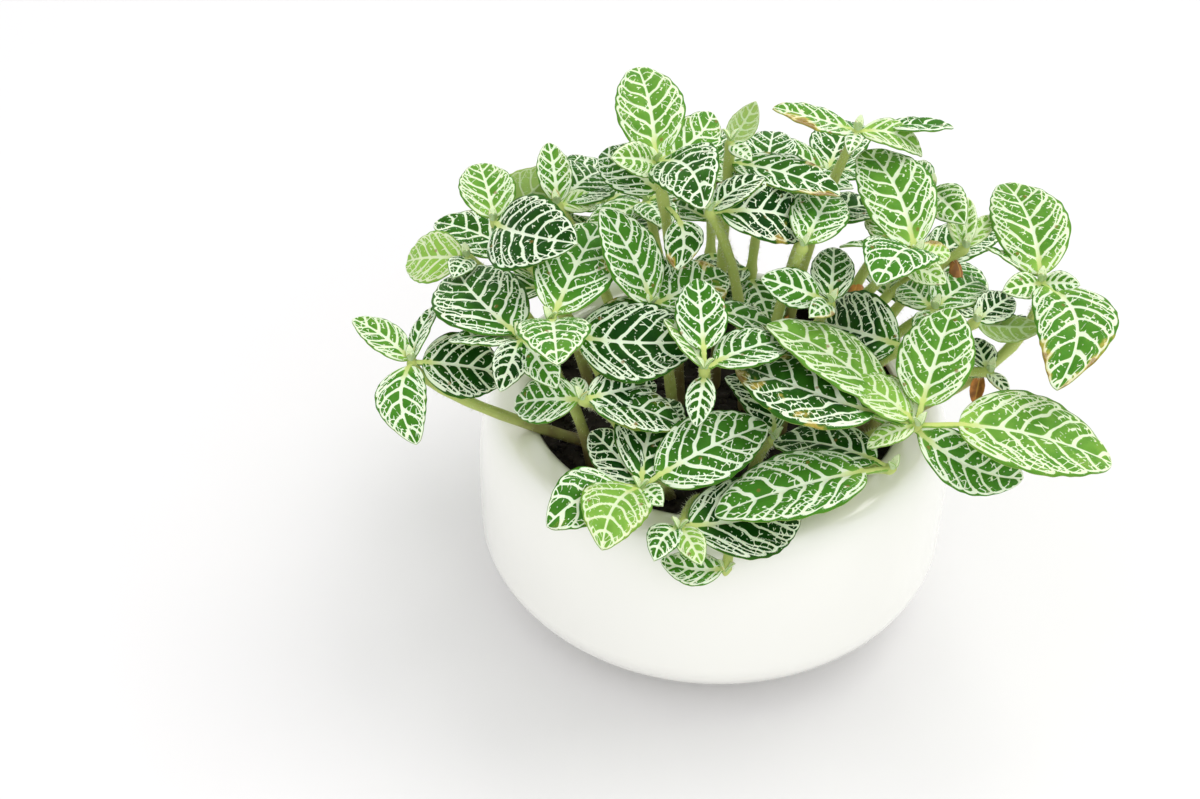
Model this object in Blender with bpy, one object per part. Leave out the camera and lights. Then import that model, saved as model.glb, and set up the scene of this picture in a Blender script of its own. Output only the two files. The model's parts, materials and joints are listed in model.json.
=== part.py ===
"""Potted nerve plant: a squat ceramic bowl, its soil and the leafy stems.

Metres, +Z up. The origin is at the centre of the flat base that the bowl
stands on; +X runs to the right and +Y away from the front.
"""
import math
from collections import namedtuple

import bmesh
import bpy
import numpy as np
from mathutils import Matrix, Vector
from mathutils.bvhtree import BVHTree

# Driving dimensions of the bowl and the soil.
BOWL_RADIUS = 0.070
BOWL_HEIGHT = 0.068
RIM_RADIUS = 0.058
BASE_RADIUS = 0.034
BELLY_HEIGHT = 0.024
BELLY_BULGE = 1.85
SHOULDER_BULGE = 3.5
WALL = 0.0048
FLOOR_THICKNESS = 0.006
SOIL_LEVEL = 0.058
FIT_GAP = 0.0003
BOWL_SIDES = 36

# Driving dimensions of the stems and the leaves.
STEM_RADIUS = 0.0017
STEM_TIP_RADIUS = 0.0012
STEM_SIDES = 6
STEM_DEPTH = 0.012
STEM_STEPS = (0.0, 0.3, 0.65, 1.0)
BUD_LENGTH = 0.002
STALK_RADIUS = 0.0007
RIB_THICKNESS = 0.0010
EDGE_THICKNESS = 0.0007
LEAF_FOLD = math.radians(12)
LEAF_CUP = 0.12
SMALL_LEAF = 0.033
TINY_LEAF = 0.0165
BLADE_ROWS = (0.0, 0.12, 0.45, 0.8, 1.0)
SMALL_BLADE_ROWS = (0.0, 0.2, 0.7, 1.0)
TINY_BLADE_ROWS = (0.0, 0.4, 1.0)
CLEARANCE = 0.0005

MM = 0.001

# A leaf leaves its stem at `along` (1 is the top) and reaches its tip `reach` mm
# away, in the direction `turn` (degrees from +X) and `lift` (degrees up). `roll`
# tips its left side up, `stalk` is the bare share of its length, `arch` its rise
# and `sway` its bow to the left, as shares of its reach.
Leaf = namedtuple("Leaf", "along turn lift reach width roll stalk arch sway",
                  defaults=(0.06, 0.09, 0.0))
# A stem stands in the soil at `root`, ends at `top` (mm), and bends over a control
# point that is `lean` of the way across and `rise` of the way up.
Stem = namedtuple("Stem", "root top lean rise leaves")

STEMS = {
    "stem_back_left": Stem((-10, 6), (-19, -3, 145), 0.25, 0.62, [
        Leaf(1, 98, 20, 34, 19, -5, sway=-0.03),
        Leaf(1, -134, 28, 19, 10, -55),
        Leaf(1, -70, 10, 33, 18, 25, sway=0.12),
        Leaf(1, 48, 13, 24, 14, 20, sway=-0.12),
        Leaf(0.97, 20, 14, 19, 10, 0),
        Leaf(0.85, 128, 2, 26, 15, -30),
        Leaf(0.8, -80, -22, 21, 11, 5, stalk=0.35, sway=0.15),
    ]),
    "stem_back_mid": Stem((1, 14), (1, 6, 146), 0.25, 0.62, [
        Leaf(1, 54, 30, 14, 8, 195),
        Leaf(1, -60, 0, 10, 5, 25),
        Leaf(0.9, -28, -5, 32, 16, 5, arch=0.06),
        Leaf(0.88, 6, -28, 19, 11, 45),
    ]),
    "stem_mid_arch": Stem((9, 3), (-5, -14, 137), 0.1, 0.62, [
        Leaf(1, 24, -24, 32, 18, 40, arch=0.2),
        Leaf(1, 26, 22, 17, 12, -5),
    ]),
    "stem_mid_right": Stem((12, -5), (19, -20, 130), 0.25, 0.62, [
        Leaf(1, 68, 1, 28, 16, 10),
    ]),
    "stem_inner_small": Stem((18, -13), (27, -24, 115), 0.25, 0.62, [
        Leaf(1, 82, 12, 21, 12, 0),
        Leaf(1, 176, 22, 20, 11, -40, stalk=0.2),
        Leaf(1, -124, 14, 12, 7, -25),
    ]),
    "stem_back_right": Stem((20, 16), (35, 10, 147), 0.25, 0.62, [
        Leaf(1, 180, 18, 24, 12, -5, arch=0.02),
        Leaf(1, 3, 2, 26, 12, -10, stalk=0.35, arch=0.04),
        Leaf(1, -6, -18, 19, 11, 15, arch=0.2),
        Leaf(1, 80, -28, 24, 15, 10, arch=0.04),
        Leaf(1, -108, -4, 10, 5, -5),
    ]),
    "stem_back_pale": Stem((31, 13), (56, 7, 131), 0.25, 0.62, [
        Leaf(1, -74, 6, 21, 12, 30),
        Leaf(1, 104, -6, 17, 10, -25),
    ]),
    "stem_right_back": Stem((27, 3), (48, -22, 129), 0.25, 0.62, [
        Leaf(1, 105, 15, 39, 20, -15, sway=-0.06),
        Leaf(1, 28, -14, 12, 7, 40),
        Leaf(1, -123, 11, 24, 20, 0, arch=0.2),
        Leaf(0.97, 156, -4, 19, 8, 20),
        Leaf(0.93, -42, -2, 13, 8, 35),
    ]),
    "stem_back_olive": Stem((39, 6), (65, -4, 119), 0.25, 0.62, [
        Leaf(1, 80, 30, 16, 6, 0),
        Leaf(1, 50, 12, 16, 6, 15),
        Leaf(1, 106, 30, 12, 5, -15),
    ]),
    "stem_right_mid": Stem((25, -21), (46, -35, 109), 0.25, 0.62, [
        Leaf(1, 115, -22, 39, 23, -40),
    ]),
    "stem_right_mid_top": Stem((34, -8), (55, -21, 111), 0.25, 0.62, [
        Leaf(1, 62, -6, 26, 15, 10),
        Leaf(1, 104, -14, 20, 11, -25),
        Leaf(1, -104, 16, 17, 10, 0),
    ]),
    "stem_right_far": Stem((40, -9), (83, -19, 118), 1.1, 0.56, [
        Leaf(1, 95, 10, 40, 21, -10, sway=-0.05),
        Leaf(1, -94, -9, 38, 21, 10, sway=0.18),
        Leaf(1, -152, 8, 13, 8, -35),
        Leaf(1, -38, 22, 11, 7, 45),
        Leaf(0.95, 136, 18, 19, 8, 25, stalk=0.4),
        Leaf(0.6, 72, -8, 21, 12, 0, stalk=0.3),
    ]),
    "stem_right_low": Stem((41, -18), (65, -27, 111), 0.25, 0.62, [
        Leaf(1, 4, -6, 19, 9, 205),
        Leaf(1, 46, -2, 18, 10, 20),
    ]),
    "stem_right_under": Stem((45, -15), (71, -26, 94), 0.3, 0.9, [
        Leaf(1, 98, 5, 14, 9, 0),
        Leaf(1, -60, -10, 9, 5, 0),
        Leaf(0.75, 20, -10, 11, 6, 0),
    ]),
    "stem_front_right": Stem((31, -30), (47, -55, 99), 0.25, 0.62, [
        Leaf(1, -9, -7, 50, 30, 5, stalk=0.2),
        Leaf(0.96, -6, -26, 34, 15, 40, sway=-0.12),
        Leaf(1, 120, -4, 24, 14, -25),
        Leaf(0.98, 156, 6, 49, 31, 0, stalk=0.2, sway=0.13),
        Leaf(0.94, 148, 21, 45, 23, 5, stalk=0.2),
        Leaf(1, -160, -14, 14, 8, 0),
        Leaf(1, 67, 31, 34, 20, 0, stalk=0.15),
        Leaf(1, 150, 20, 22, 15, 0, stalk=0.12),
    ]),
    "stem_front_right_low": Stem((21, -39), (41, -59, 88), 0.25, 0.62, [
        Leaf(1, -167, -4, 47, 25, 0, stalk=0.15, sway=0.04),
        Leaf(1, 150, -8, 33, 19, 0, stalk=0.12),
    ]),
    "stem_centre": Stem((-4, -27), (-7, -46, 110), 0.25, 0.62, [
        Leaf(1, 30, -18, 27, 15, 25, stalk=0.12),
        Leaf(1, 94, 34, 25, 14, 0, stalk=0.2),
        Leaf(1, 132, 28, 17, 9, 15),
        Leaf(0.93, -102, -36, 14, 8, 0),
    ]),
    "stem_centre_back": Stem((-12, -11), (-20, -24, 114), 0.25, 0.62, [
        Leaf(1, 39, -3, 27, 17, 25),
        Leaf(1, 138, 36, 29, 18, -5),
        Leaf(1, -142, 12, 18, 11, -35),
        Leaf(0.95, 2, -12, 34, 14, 0, stalk=0.5),
        Leaf(0.92, 88, 38, 18, 10, 0),
    ]),
    "stem_shade": Stem((9, -29), (13, -39, 81), 0.25, 0.62, [
        Leaf(1, 116, 8, 26, 15, -15, sway=-0.2),
    ]),
    "stem_front": Stem((-14, -37), (-23, -63, 85), 0.3, 0.62, [
        Leaf(1, -148, 1, 28, 16, -25, stalk=0.25, sway=-0.1),
        Leaf(1, -112, 5, 27, 18, -10, sway=-0.1),
        Leaf(1, 74, 5, 34, 19, 10, sway=0.08),
        Leaf(0.98, 25, 13, 37, 21, 20, stalk=0.12),
        Leaf(0.96, 126, 8, 23, 13, -20),
        Leaf(1, -62, 14, 11, 7, 20),
    ]),
    "stem_front_low": Stem((-4, -41), (-13, -69, 77), 0.4, 1.0, [
        Leaf(1, 24, -15, 36, 24, 25, sway=-0.08),
        Leaf(1, -120, 0, 14, 9, -10, sway=-0.1),
        Leaf(1, -70, -2, 14, 8, 10),
    ]),
    "stem_front_drop": Stem((8, -43), (-1, -73, 66), 0.6, 3.5, [
        Leaf(1, 172, 2, 17, 10, -20, sway=0.12),
    ]),
    "stem_left_mid": Stem((-23, -26), (-38, -47, 101), 0.25, 0.62, [
        Leaf(1, 148, -26, 24, 14, -40),
        Leaf(1, 28, -8, 22, 13, 35),
        Leaf(0.96, -4, -24, 26, 16, 10),
        Leaf(1, 102, -2, 10, 5, -5),
    ]),
    "stem_left_top": Stem((-27, -13), (-46, -36, 118), 0.25, 0.62, [
        Leaf(1, -86, 18, 33, 19, 0),
        Leaf(1, 70, 12, 37, 22, 10),
        Leaf(0.82, -4, -4, 34, 24, 30, sway=-0.08),
    ]),
    "stem_left_big": Stem((-36, -22), (-54, -34, 111), 0.25, 0.62, [
        Leaf(1, 118, 0, 40, 25, -10, sway=0.07),
        Leaf(1, -106, -12, 18, 10, -10),
        Leaf(1, -60, -10, 19, 11, 15),
        Leaf(0.95, 172, -4, 21, 11, 5),
    ]),
    "stem_top_left": Stem((-35, 3), (-62, 0, 125), 0.25, 0.62, [
        Leaf(1, -48, 16, 35, 23, 40, sway=-0.06),
        Leaf(1, 52, 11, 27, 19, 205, arch=0.1),
        Leaf(1, 104, 14, 23, 16, 0),
    ]),
    "stem_top_left_back": Stem((-24, 7), (-45, 2, 129), 0.25, 0.62, [
        Leaf(1, 66, -10, 29, 20, 15),
        Leaf(1, 100, 34, 19, 10, 5),
        Leaf(1, 34, -10, 13, 7, 40),
    ]),
    "stem_far_left": Stem((-34, -14), (-84, -27, 98), 0.95, 0.7, [
        Leaf(1, 152, 24, 20, 11, -5),
        Leaf(1, 62, 34, 18, 9, -30),
        Leaf(1, 8, -16, 26, 20, 30, stalk=0.1),
        Leaf(1, -84, -26, 24, 14, 0, sway=-0.14),
    ]),
    "stem_left_back": Stem((-44, 8), (-70, 2, 112), 0.25, 0.62, [
        Leaf(1, 143, -24, 26, 16, -45),
        Leaf(1, -104, -18, 13, 8, -10),
    ]),
    "stem_rear_1": Stem((-36, 22), (-57, 38, 88), 0.25, 0.62, [
        Leaf(1, 150, 5, 32, 19, -10),
        Leaf(1, -20, 12, 22, 13, 0),
        Leaf(1, 62, 8, 28, 17, 0),
        Leaf(0.72, 110, -5, 34, 19, 0),
        Leaf(0.72, -170, -8, 32, 18, 0),
    ]),
    "stem_rear_2": Stem((-20, 34), (-32, 60, 93), 0.25, 0.62, [
        Leaf(1, 118, 0, 33, 19, 0),
        Leaf(1, -62, 22, 20, 13, 0),
        Leaf(1, 30, 10, 27, 16, 0),
        Leaf(1, -152, 12, 22, 14, 0),
        Leaf(0.7, 75, -12, 34, 21, 0),
        Leaf(0.7, 160, -8, 30, 18, 0),
    ]),
    "stem_rear_3": Stem((0, 40), (2, 70, 100), 0.25, 0.62, [
        Leaf(1, 95, -5, 30, 18, 0),
        Leaf(1, -80, 25, 21, 13, 0),
        Leaf(1, 8, 10, 27, 16, 0),
        Leaf(1, 175, 14, 22, 14, 0),
        Leaf(0.68, 50, -14, 32, 19, 0),
        Leaf(0.68, 132, -14, 30, 18, 0),
        Leaf(0.5, -84, -8, 24, 16, 0),
    ]),
    "stem_rear_4": Stem((20, 36), (36, 60, 104), 0.25, 0.62, [
        Leaf(1, 70, 2, 33, 19, 0),
        Leaf(1, -110, 20, 20, 13, 0),
        Leaf(1, -20, 10, 26, 16, 0),
        Leaf(1, 155, 14, 24, 14, 0),
        Leaf(0.7, 30, -12, 33, 19, 0),
        Leaf(0.7, 110, -12, 30, 18, 0),
    ]),
    "stem_rear_5": Stem((38, 24), (64, 36, 86), 0.25, 0.62, [
        Leaf(1, 35, 4, 32, 19, 0),
        Leaf(1, -150, 20, 20, 13, 0),
        Leaf(1, -55, 8, 26, 16, 0),
        Leaf(1, 125, 8, 26, 15, 0),
        Leaf(0.68, 0, -12, 32, 18, 0),
        Leaf(0.68, 75, -12, 30, 18, 0),
    ]),
    "stem_rear_top_left": Stem((-12, 26), (-20, 34, 110), 0.25, 0.62, [
        Leaf(1, 100, 5, 30, 18, 0),
        Leaf(1, -75, 10, 20, 13, 0),
        Leaf(1, 15, 12, 24, 15, 0),
        Leaf(1, -150, -16, 22, 14, 0),
        Leaf(0.5, -20, -12, 26, 16, 0),
    ]),
    "stem_rear_top_right": Stem((10, 27), (14, 35, 114), 0.25, 0.62, [
        Leaf(1, 80, 5, 30, 18, 0),
        Leaf(1, -100, 10, 20, 13, 0),
        Leaf(1, -10, 8, 26, 15, 0),
        Leaf(1, 168, 12, 22, 14, 0),
        Leaf(0.5, -150, -12, 24, 15, 0),
        Leaf(0.45, -60, -12, 24, 15, 0),
    ]),
}


def clear_scene():
    """Remove whatever the opened file holds."""
    for old in list(bpy.data.objects):
        bpy.data.objects.remove(old, do_unlink=True)


def material(name, colour, roughness):
    """A Principled material of one colour."""
    made = bpy.data.materials.new(name)
    made.use_nodes = True
    shader = made.node_tree.nodes["Principled BSDF"]
    shader.inputs["Base Color"].default_value = (*colour, 1.0)
    shader.inputs["Roughness"].default_value = roughness
    shader.inputs["Metallic"].default_value = 0.0
    return made


def add_object(name, mesh, finish):
    """Link a mesh to the scene as a named object with its material."""
    mesh.materials.append(finish)
    made = bpy.data.objects.new(name, mesh)
    bpy.context.scene.collection.objects.link(made)
    return made


def polygon_mesh(name, points, faces):
    """A mesh from points and faces, with its normals turned outwards."""
    mesh = bpy.data.meshes.new(name)
    mesh.from_pydata([tuple(point) for point in points], [], faces)
    work = bmesh.new()
    work.from_mesh(mesh)
    bmesh.ops.recalc_face_normals(work, faces=work.faces)
    work.to_mesh(mesh)
    work.free()
    return mesh


def turned_mesh(name, profile, sides):
    """Spin a profile of (radius, height) that starts and ends on the axis."""
    work = bmesh.new()
    points = [work.verts.new((radius, 0.0, height)) for radius, height in profile]
    edges = [work.edges.new(pair) for pair in zip(points, points[1:])]
    bmesh.ops.spin(work, geom=points + edges, cent=(0, 0, 0), axis=(0, 0, 1),
                   angle=math.tau, steps=sides, use_merge=True)
    bmesh.ops.remove_doubles(work, verts=work.verts, dist=0.00001)
    bmesh.ops.recalc_face_normals(work, faces=work.faces)
    mesh = bpy.data.meshes.new(name)
    work.to_mesh(mesh)
    work.free()
    mesh.shade_smooth()
    mesh.set_sharp_from_angle(angle=math.radians(40))
    return mesh


def super_arc(start, end, power, steps, from_level):
    """Points of a superellipse quarter from start to end.

    It leaves start level and reaches end upright, or the other way round.
    """
    points = []
    for step in range(steps + 1):
        angle = 0.5 * math.pi * step / steps
        across = math.sin(angle) ** (2 / power)
        along = 1 - math.cos(angle) ** (2 / power)
        if not from_level:
            across, along = along, across
        points.append((start[0] + (end[0] - start[0]) * across,
                       start[1] + (end[1] - start[1]) * along))
    return points


def bowl_outside():
    """The bowl's outer profile, from the base's edge to the top of the rim."""
    belly = (BOWL_RADIUS, BELLY_HEIGHT)
    lower = super_arc((BASE_RADIUS, 0.0), belly, BELLY_BULGE, 6, True)
    upper = super_arc(belly, (RIM_RADIUS, BOWL_HEIGHT), SHOULDER_BULGE, 9, False)
    return lower + upper[1:]


def bowl_inside():
    """The bowl's inner profile, from the rim down to the middle of its floor."""
    points = []
    for radius, height in reversed(bowl_outside()):
        inner = radius - WALL
        if FLOOR_THICKNESS + 0.002 < height < BOWL_HEIGHT - 0.004:
            points.append((inner, height))
    lip = [(RIM_RADIUS - 0.0022, BOWL_HEIGHT - 0.0003),
           (RIM_RADIUS - 0.0042, BOWL_HEIGHT - 0.0016)]
    floor = [(BASE_RADIUS + 0.004, FLOOR_THICKNESS), (0.0, FLOOR_THICKNESS)]
    return lip + points + floor


def make_bowl(finish):
    """The glazed bowl: one turned shell with a rounded lip."""
    profile = [(0.0, 0.0)] + bowl_outside() + bowl_inside()
    return add_object("bowl", turned_mesh("bowl", profile, BOWL_SIDES), finish)


def make_soil(finish):
    """The soil that fills the bowl, with a plain hole for each stem."""
    below = FLOOR_THICKNESS + FIT_GAP
    wall = [(radius - FIT_GAP, height) for radius, height in bowl_inside()
            if below < height < SOIL_LEVEL]
    heights, radii = zip(*sorted((height, radius) for radius, height in bowl_inside()[2:-2]))
    brim = float(np.interp(SOIL_LEVEL, heights, radii)) - FIT_GAP
    profile = [(0.0, SOIL_LEVEL), (brim, SOIL_LEVEL)] + wall[::2]
    profile += [(BASE_RADIUS + 0.0034, below), (0.0, below)]
    soil = add_object("soil", turned_mesh("soil", profile, BOWL_SIDES), finish)
    holes = bpy.data.collections.new("holes")
    bpy.context.scene.collection.children.link(holes)
    for stem in STEMS.values():
        work = bmesh.new()
        place = Matrix.Translation((stem.root[0] * MM, stem.root[1] * MM, SOIL_LEVEL))
        bmesh.ops.create_cone(work, cap_ends=True, segments=STEM_SIDES, matrix=place,
                              radius1=STEM_RADIUS + 2 * FIT_GAP,
                              radius2=STEM_RADIUS + 2 * FIT_GAP,
                              depth=2 * (STEM_DEPTH + FIT_GAP))
        mesh = bpy.data.meshes.new("hole")
        work.to_mesh(mesh)
        work.free()
        holes.objects.link(bpy.data.objects.new("hole", mesh))
    join(soil, holes, "DIFFERENCE")
    return soil


def join(target, group, operation):
    """Apply one Boolean of a collection to an object, then drop the collection."""
    boolean = target.modifiers.new("join", "BOOLEAN")
    boolean.operation = operation
    boolean.operand_type = "COLLECTION"
    boolean.collection = group
    boolean.solver = "EXACT"
    with bpy.context.temp_override(object=target, active_object=target,
                                   selected_objects=[target]):
        bpy.ops.object.modifier_apply(modifier=boolean.name)
    for spare in list(group.objects):
        bpy.data.objects.remove(spare, do_unlink=True)
    bpy.data.collections.remove(group)


def stem_point(stem, share):
    """A point on a stem's centre line, in metres; share runs from soil to top."""
    root = np.array([*stem.root, SOIL_LEVEL / MM])
    top = np.array(stem.top, float)
    bend = root + (top - root) * np.array([stem.lean, stem.lean, stem.rise])
    line = (1 - share) ** 2 * root + 2 * share * (1 - share) * bend + share ** 2 * top
    return line * MM


def stem_mesh(name, stem):
    """A tapering tube from its foot in the soil to its bud."""
    centres = [stem_point(stem, 0.0) - (0, 0, STEM_DEPTH)]
    centres += [stem_point(stem, share) for share in STEM_STEPS]
    ahead = centres[-1] - stem_point(stem, 0.95)
    centres.append(centres[-1] + ahead / np.linalg.norm(ahead) * BUD_LENGTH)
    radii = [STEM_RADIUS, STEM_RADIUS]
    radii += [STEM_RADIUS + (STEM_TIP_RADIUS - STEM_RADIUS) * share for share in STEM_STEPS[1:]]
    radii.append(0.6 * STEM_TIP_RADIUS)
    points, faces = [], []
    for index, (centre, radius) in enumerate(zip(centres, radii)):
        last = len(centres) - 1
        ahead = centres[min(index + 1, last)] - centres[max(index - 1, 0)]
        if index < 2:
            ahead = np.array([0.0, 0.0, 1.0])
        ahead = ahead / np.linalg.norm(ahead)
        side = np.cross([0.0, 1.0, 0.0], ahead)
        side = side / np.linalg.norm(side)
        other = np.cross(ahead, side)
        for step in range(STEM_SIDES):
            angle = math.tau * step / STEM_SIDES
            points.append(centre + radius * (math.cos(angle) * side + math.sin(angle) * other))
    for ring in range(len(centres) - 1):
        for step in range(STEM_SIDES):
            low = ring * STEM_SIDES
            near, far = low + step, low + (step + 1) % STEM_SIDES
            faces.append((near, far, far + STEM_SIDES, near + STEM_SIDES))
    faces.append(tuple(reversed(range(STEM_SIDES))))
    faces.append(tuple(range(len(points) - STEM_SIDES, len(points))))
    return polygon_mesh(name, points, faces)


def leaf_axes(leaf):
    """The leaf's own directions: along it, to its left and up from its face."""
    turn, lift, roll = (math.radians(angle) for angle in (leaf.turn, leaf.lift, leaf.roll))
    along = np.array([math.cos(lift) * math.cos(turn), math.cos(lift) * math.sin(turn),
                      math.sin(lift)])
    level = np.array([-math.sin(turn), math.cos(turn), 0.0])
    above = np.cross(along, level)
    left = math.cos(roll) * level + math.sin(roll) * above
    up = math.cos(roll) * above - math.sin(roll) * level
    return along, left, up


def blade_outline(share):
    """Half-width of a leaf as a share of its greatest, from its base to its tip."""
    share = min(max(share, 0.0), 1.0)
    return max(math.sin(math.pi * share ** 0.85), 0.0) ** (0.55 + 0.2 * share)


def leaf_point(start, axes, leaf, share, across):
    """A point on the leaf's middle surface; across runs from -1 to 1."""
    along, left, up = axes
    reach, width = leaf.reach * MM, leaf.width * MM
    blade = (share - leaf.stalk) / (1 - leaf.stalk)
    half = max(0.5 * width * blade_outline(blade), STALK_RADIUS)
    out = across * half
    bow = 4 * share * (1 - share) * reach
    aside = out * math.cos(LEAF_FOLD) + leaf.sway * bow
    height = abs(out) * math.sin(LEAF_FOLD) - LEAF_CUP * out * out / (0.5 * width) + leaf.arch * bow
    return start + share * reach * along + aside * left + height * up


def leaf_solid(stem, leaf, extra=0.0):
    """Points and faces of one thin closed leaf; extra thickens it on both faces."""
    axes = leaf_axes(leaf)
    start = stem_point(stem, leaf.along)
    rows = SMALL_BLADE_ROWS if leaf.reach * MM < SMALL_LEAF else BLADE_ROWS
    if leaf.reach * MM < TINY_LEAF:
        rows = TINY_BLADE_ROWS
    shares = [0.0] + [leaf.stalk + row * (1 - leaf.stalk) for row in rows]
    points = []
    for share in shares:
        for side in (1, -1):
            for across in (-1, 0, 1):
                thickness = RIB_THICKNESS if across == 0 else EDGE_THICKNESS
                if share <= leaf.stalk:
                    thickness = 2 * STALK_RADIUS
                offset = side * (0.5 * thickness + extra) * axes[2]
                points.append(leaf_point(start, axes, leaf, share, across) + offset)
    faces = []
    for row in range(len(shares) - 1):
        low, high = 6 * row, 6 * row + 6
        for column in (0, 1):
            a, b, c, d = low + column, low + column + 1, high + column + 1, high + column
            faces += [(a, b, c), (a, c, d)] if column == 0 else [(a, b, d), (b, c, d)]
            a, b, c, d = a + 3, b + 3, c + 3, d + 3
            faces += [(a, c, b), (a, d, c)] if column == 0 else [(a, d, b), (b, d, c)]
        faces += [(low, high, high + 3, low + 3), (low + 2, low + 5, high + 5, high + 2)]
    end = 6 * (len(shares) - 1)
    faces += [(0, 3, 4, 1), (1, 4, 5, 2)]
    faces += [(end, end + 1, end + 4, end + 3), (end + 1, end + 2, end + 5, end + 4)]
    return points, faces


def tree_of(points, faces):
    """A search tree of a solid, for finding where it meets another."""
    return BVHTree.FromPolygons([Vector(point) for point in points], faces, epsilon=0.0)


def stem_solid(stem, extra):
    """Points and faces of a stem's tube, thickened by extra."""
    mesh = stem_mesh("probe", stem)
    points = [np.array(vertex.co) for vertex in mesh.vertices]
    faces = [tuple(face.vertices) for face in mesh.polygons]
    bpy.data.meshes.remove(mesh)
    rings = len(points) // STEM_SIDES
    for ring in range(rings):
        span = range(ring * STEM_SIDES, (ring + 1) * STEM_SIDES)
        middle = sum(points[index] for index in span) / STEM_SIDES
        for index in span:
            out = points[index] - middle
            points[index] = points[index] + extra * out / np.linalg.norm(out)
    return points, faces


def nudges():
    """Small changes of lift, turn and roll, the smallest first."""
    changes = [(lift, turn, roll) for lift in range(-32, 33, 4) for turn in range(-24, 25, 6)
               for roll in (-20, -10, 0, 10, 20)]
    return sorted(changes, key=lambda change: (abs(change[0]) + abs(change[1])
                                               + 0.6 * abs(change[2]), change))


def settle():
    """Give each leaf the smallest nudge that keeps it clear of every other shoot.

    The shoots at the front are settled first and keep their place.
    """
    placed = []

    def place(owner, points, faces):
        cloud = np.array(points)
        placed.append((owner, cloud.min(0), cloud.max(0), tree_of(points, faces)))

    def clear(owner, points, faces):
        cloud = np.array(points)
        low, high = cloud.min(0), cloud.max(0)
        tree = None
        for other, near, far, solid in placed:
            if other == owner or (near > high).any() or (low > far).any():
                continue
            tree = tree or tree_of(points, faces)
            if tree.overlap(solid):
                return False
        return True

    for name in ("bowl", "soil"):
        mesh = bpy.data.objects[name].data
        place(name, [vertex.co for vertex in mesh.vertices],
              [tuple(face.vertices) for face in mesh.polygons])
    order = sorted(STEMS, key=lambda name: STEMS[name].top[1])
    for name in order:
        place(name, *stem_solid(STEMS[name], CLEARANCE))
    settled = {}
    for name in order:
        stem = STEMS[name]
        leaves = []
        for leaf in stem.leaves:
            for lift, turn, roll in nudges():
                tried = leaf._replace(lift=leaf.lift + lift, turn=leaf.turn + turn,
                                      roll=leaf.roll + roll)
                solid = leaf_solid(stem, tried, CLEARANCE)
                if clear(name, *solid):
                    break
            else:
                raise RuntimeError(f"a leaf of {name} has no room")
            place(name, *solid)
            leaves.append(tried)
        settled[name] = leaves
    return settled


def make_shoot(name, leaves, finish):
    """One leafy stem: its tube with every leaf fused on."""
    stem = STEMS[name]
    shoot = add_object(name, stem_mesh(name, stem), finish)
    group = bpy.data.collections.new("leaves")
    bpy.context.scene.collection.children.link(group)
    for leaf in leaves:
        mesh = polygon_mesh("leaf", *leaf_solid(stem, leaf))
        group.objects.link(bpy.data.objects.new("leaf", mesh))
    join(shoot, group, "UNION")
    return shoot


def main():
    """Build the bowl, its soil and every leafy stem."""
    clear_scene()
    glaze = material("white_glaze", (0.82, 0.82, 0.81), 0.12)
    earth = material("dark_soil", (0.03, 0.02, 0.015), 0.9)
    green = material("leaf_green", (0.07, 0.22, 0.06), 0.45)
    make_bowl(glaze)
    make_soil(earth)
    settled = settle()
    for name in STEMS:
        make_shoot(name, settled[name], green)


main()
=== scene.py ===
"""Potted nerve plant: the finished bowl, soil and leafy stems.

Metres, +Z up. The origin is at the centre of the bowl's flat base; +X runs to the
right and +Y away from the front. Every shoot grows from the same table of stems
and leaves as the solids, with fine blades, veins, hairs and buds in their place.
"""
import json
import math
import random
from collections import namedtuple

import bpy
import numpy as np
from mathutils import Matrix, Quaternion, Vector, noise
from mathutils.bvhtree import BVHTree

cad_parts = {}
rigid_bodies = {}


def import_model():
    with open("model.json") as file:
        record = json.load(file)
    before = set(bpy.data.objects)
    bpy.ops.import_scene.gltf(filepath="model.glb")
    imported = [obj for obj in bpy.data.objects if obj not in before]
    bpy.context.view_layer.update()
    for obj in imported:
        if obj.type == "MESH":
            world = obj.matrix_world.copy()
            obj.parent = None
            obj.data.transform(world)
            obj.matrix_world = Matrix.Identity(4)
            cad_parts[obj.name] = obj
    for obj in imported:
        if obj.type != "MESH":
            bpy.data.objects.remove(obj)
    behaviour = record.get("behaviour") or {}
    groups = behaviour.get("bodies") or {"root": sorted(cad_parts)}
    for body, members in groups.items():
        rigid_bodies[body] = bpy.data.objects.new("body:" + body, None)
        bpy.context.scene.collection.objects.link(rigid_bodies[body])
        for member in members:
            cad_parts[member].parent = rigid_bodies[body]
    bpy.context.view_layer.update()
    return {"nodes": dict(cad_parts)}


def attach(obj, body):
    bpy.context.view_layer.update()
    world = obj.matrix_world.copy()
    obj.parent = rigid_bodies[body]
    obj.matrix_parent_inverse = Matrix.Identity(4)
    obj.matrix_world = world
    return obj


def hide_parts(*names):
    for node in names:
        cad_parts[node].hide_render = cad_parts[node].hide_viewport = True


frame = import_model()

bl_info = {
    "name": "Potted nerve plant",
    "version": (1, 0, 0),
    "blender": (4, 5, 0),
    "location": "View3D > Sidebar > Nerve plant",
    "description": "Models a white-veined nerve plant in a squat glazed bowl",
    "category": "Add Mesh",
}

MM = 0.001

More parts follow.
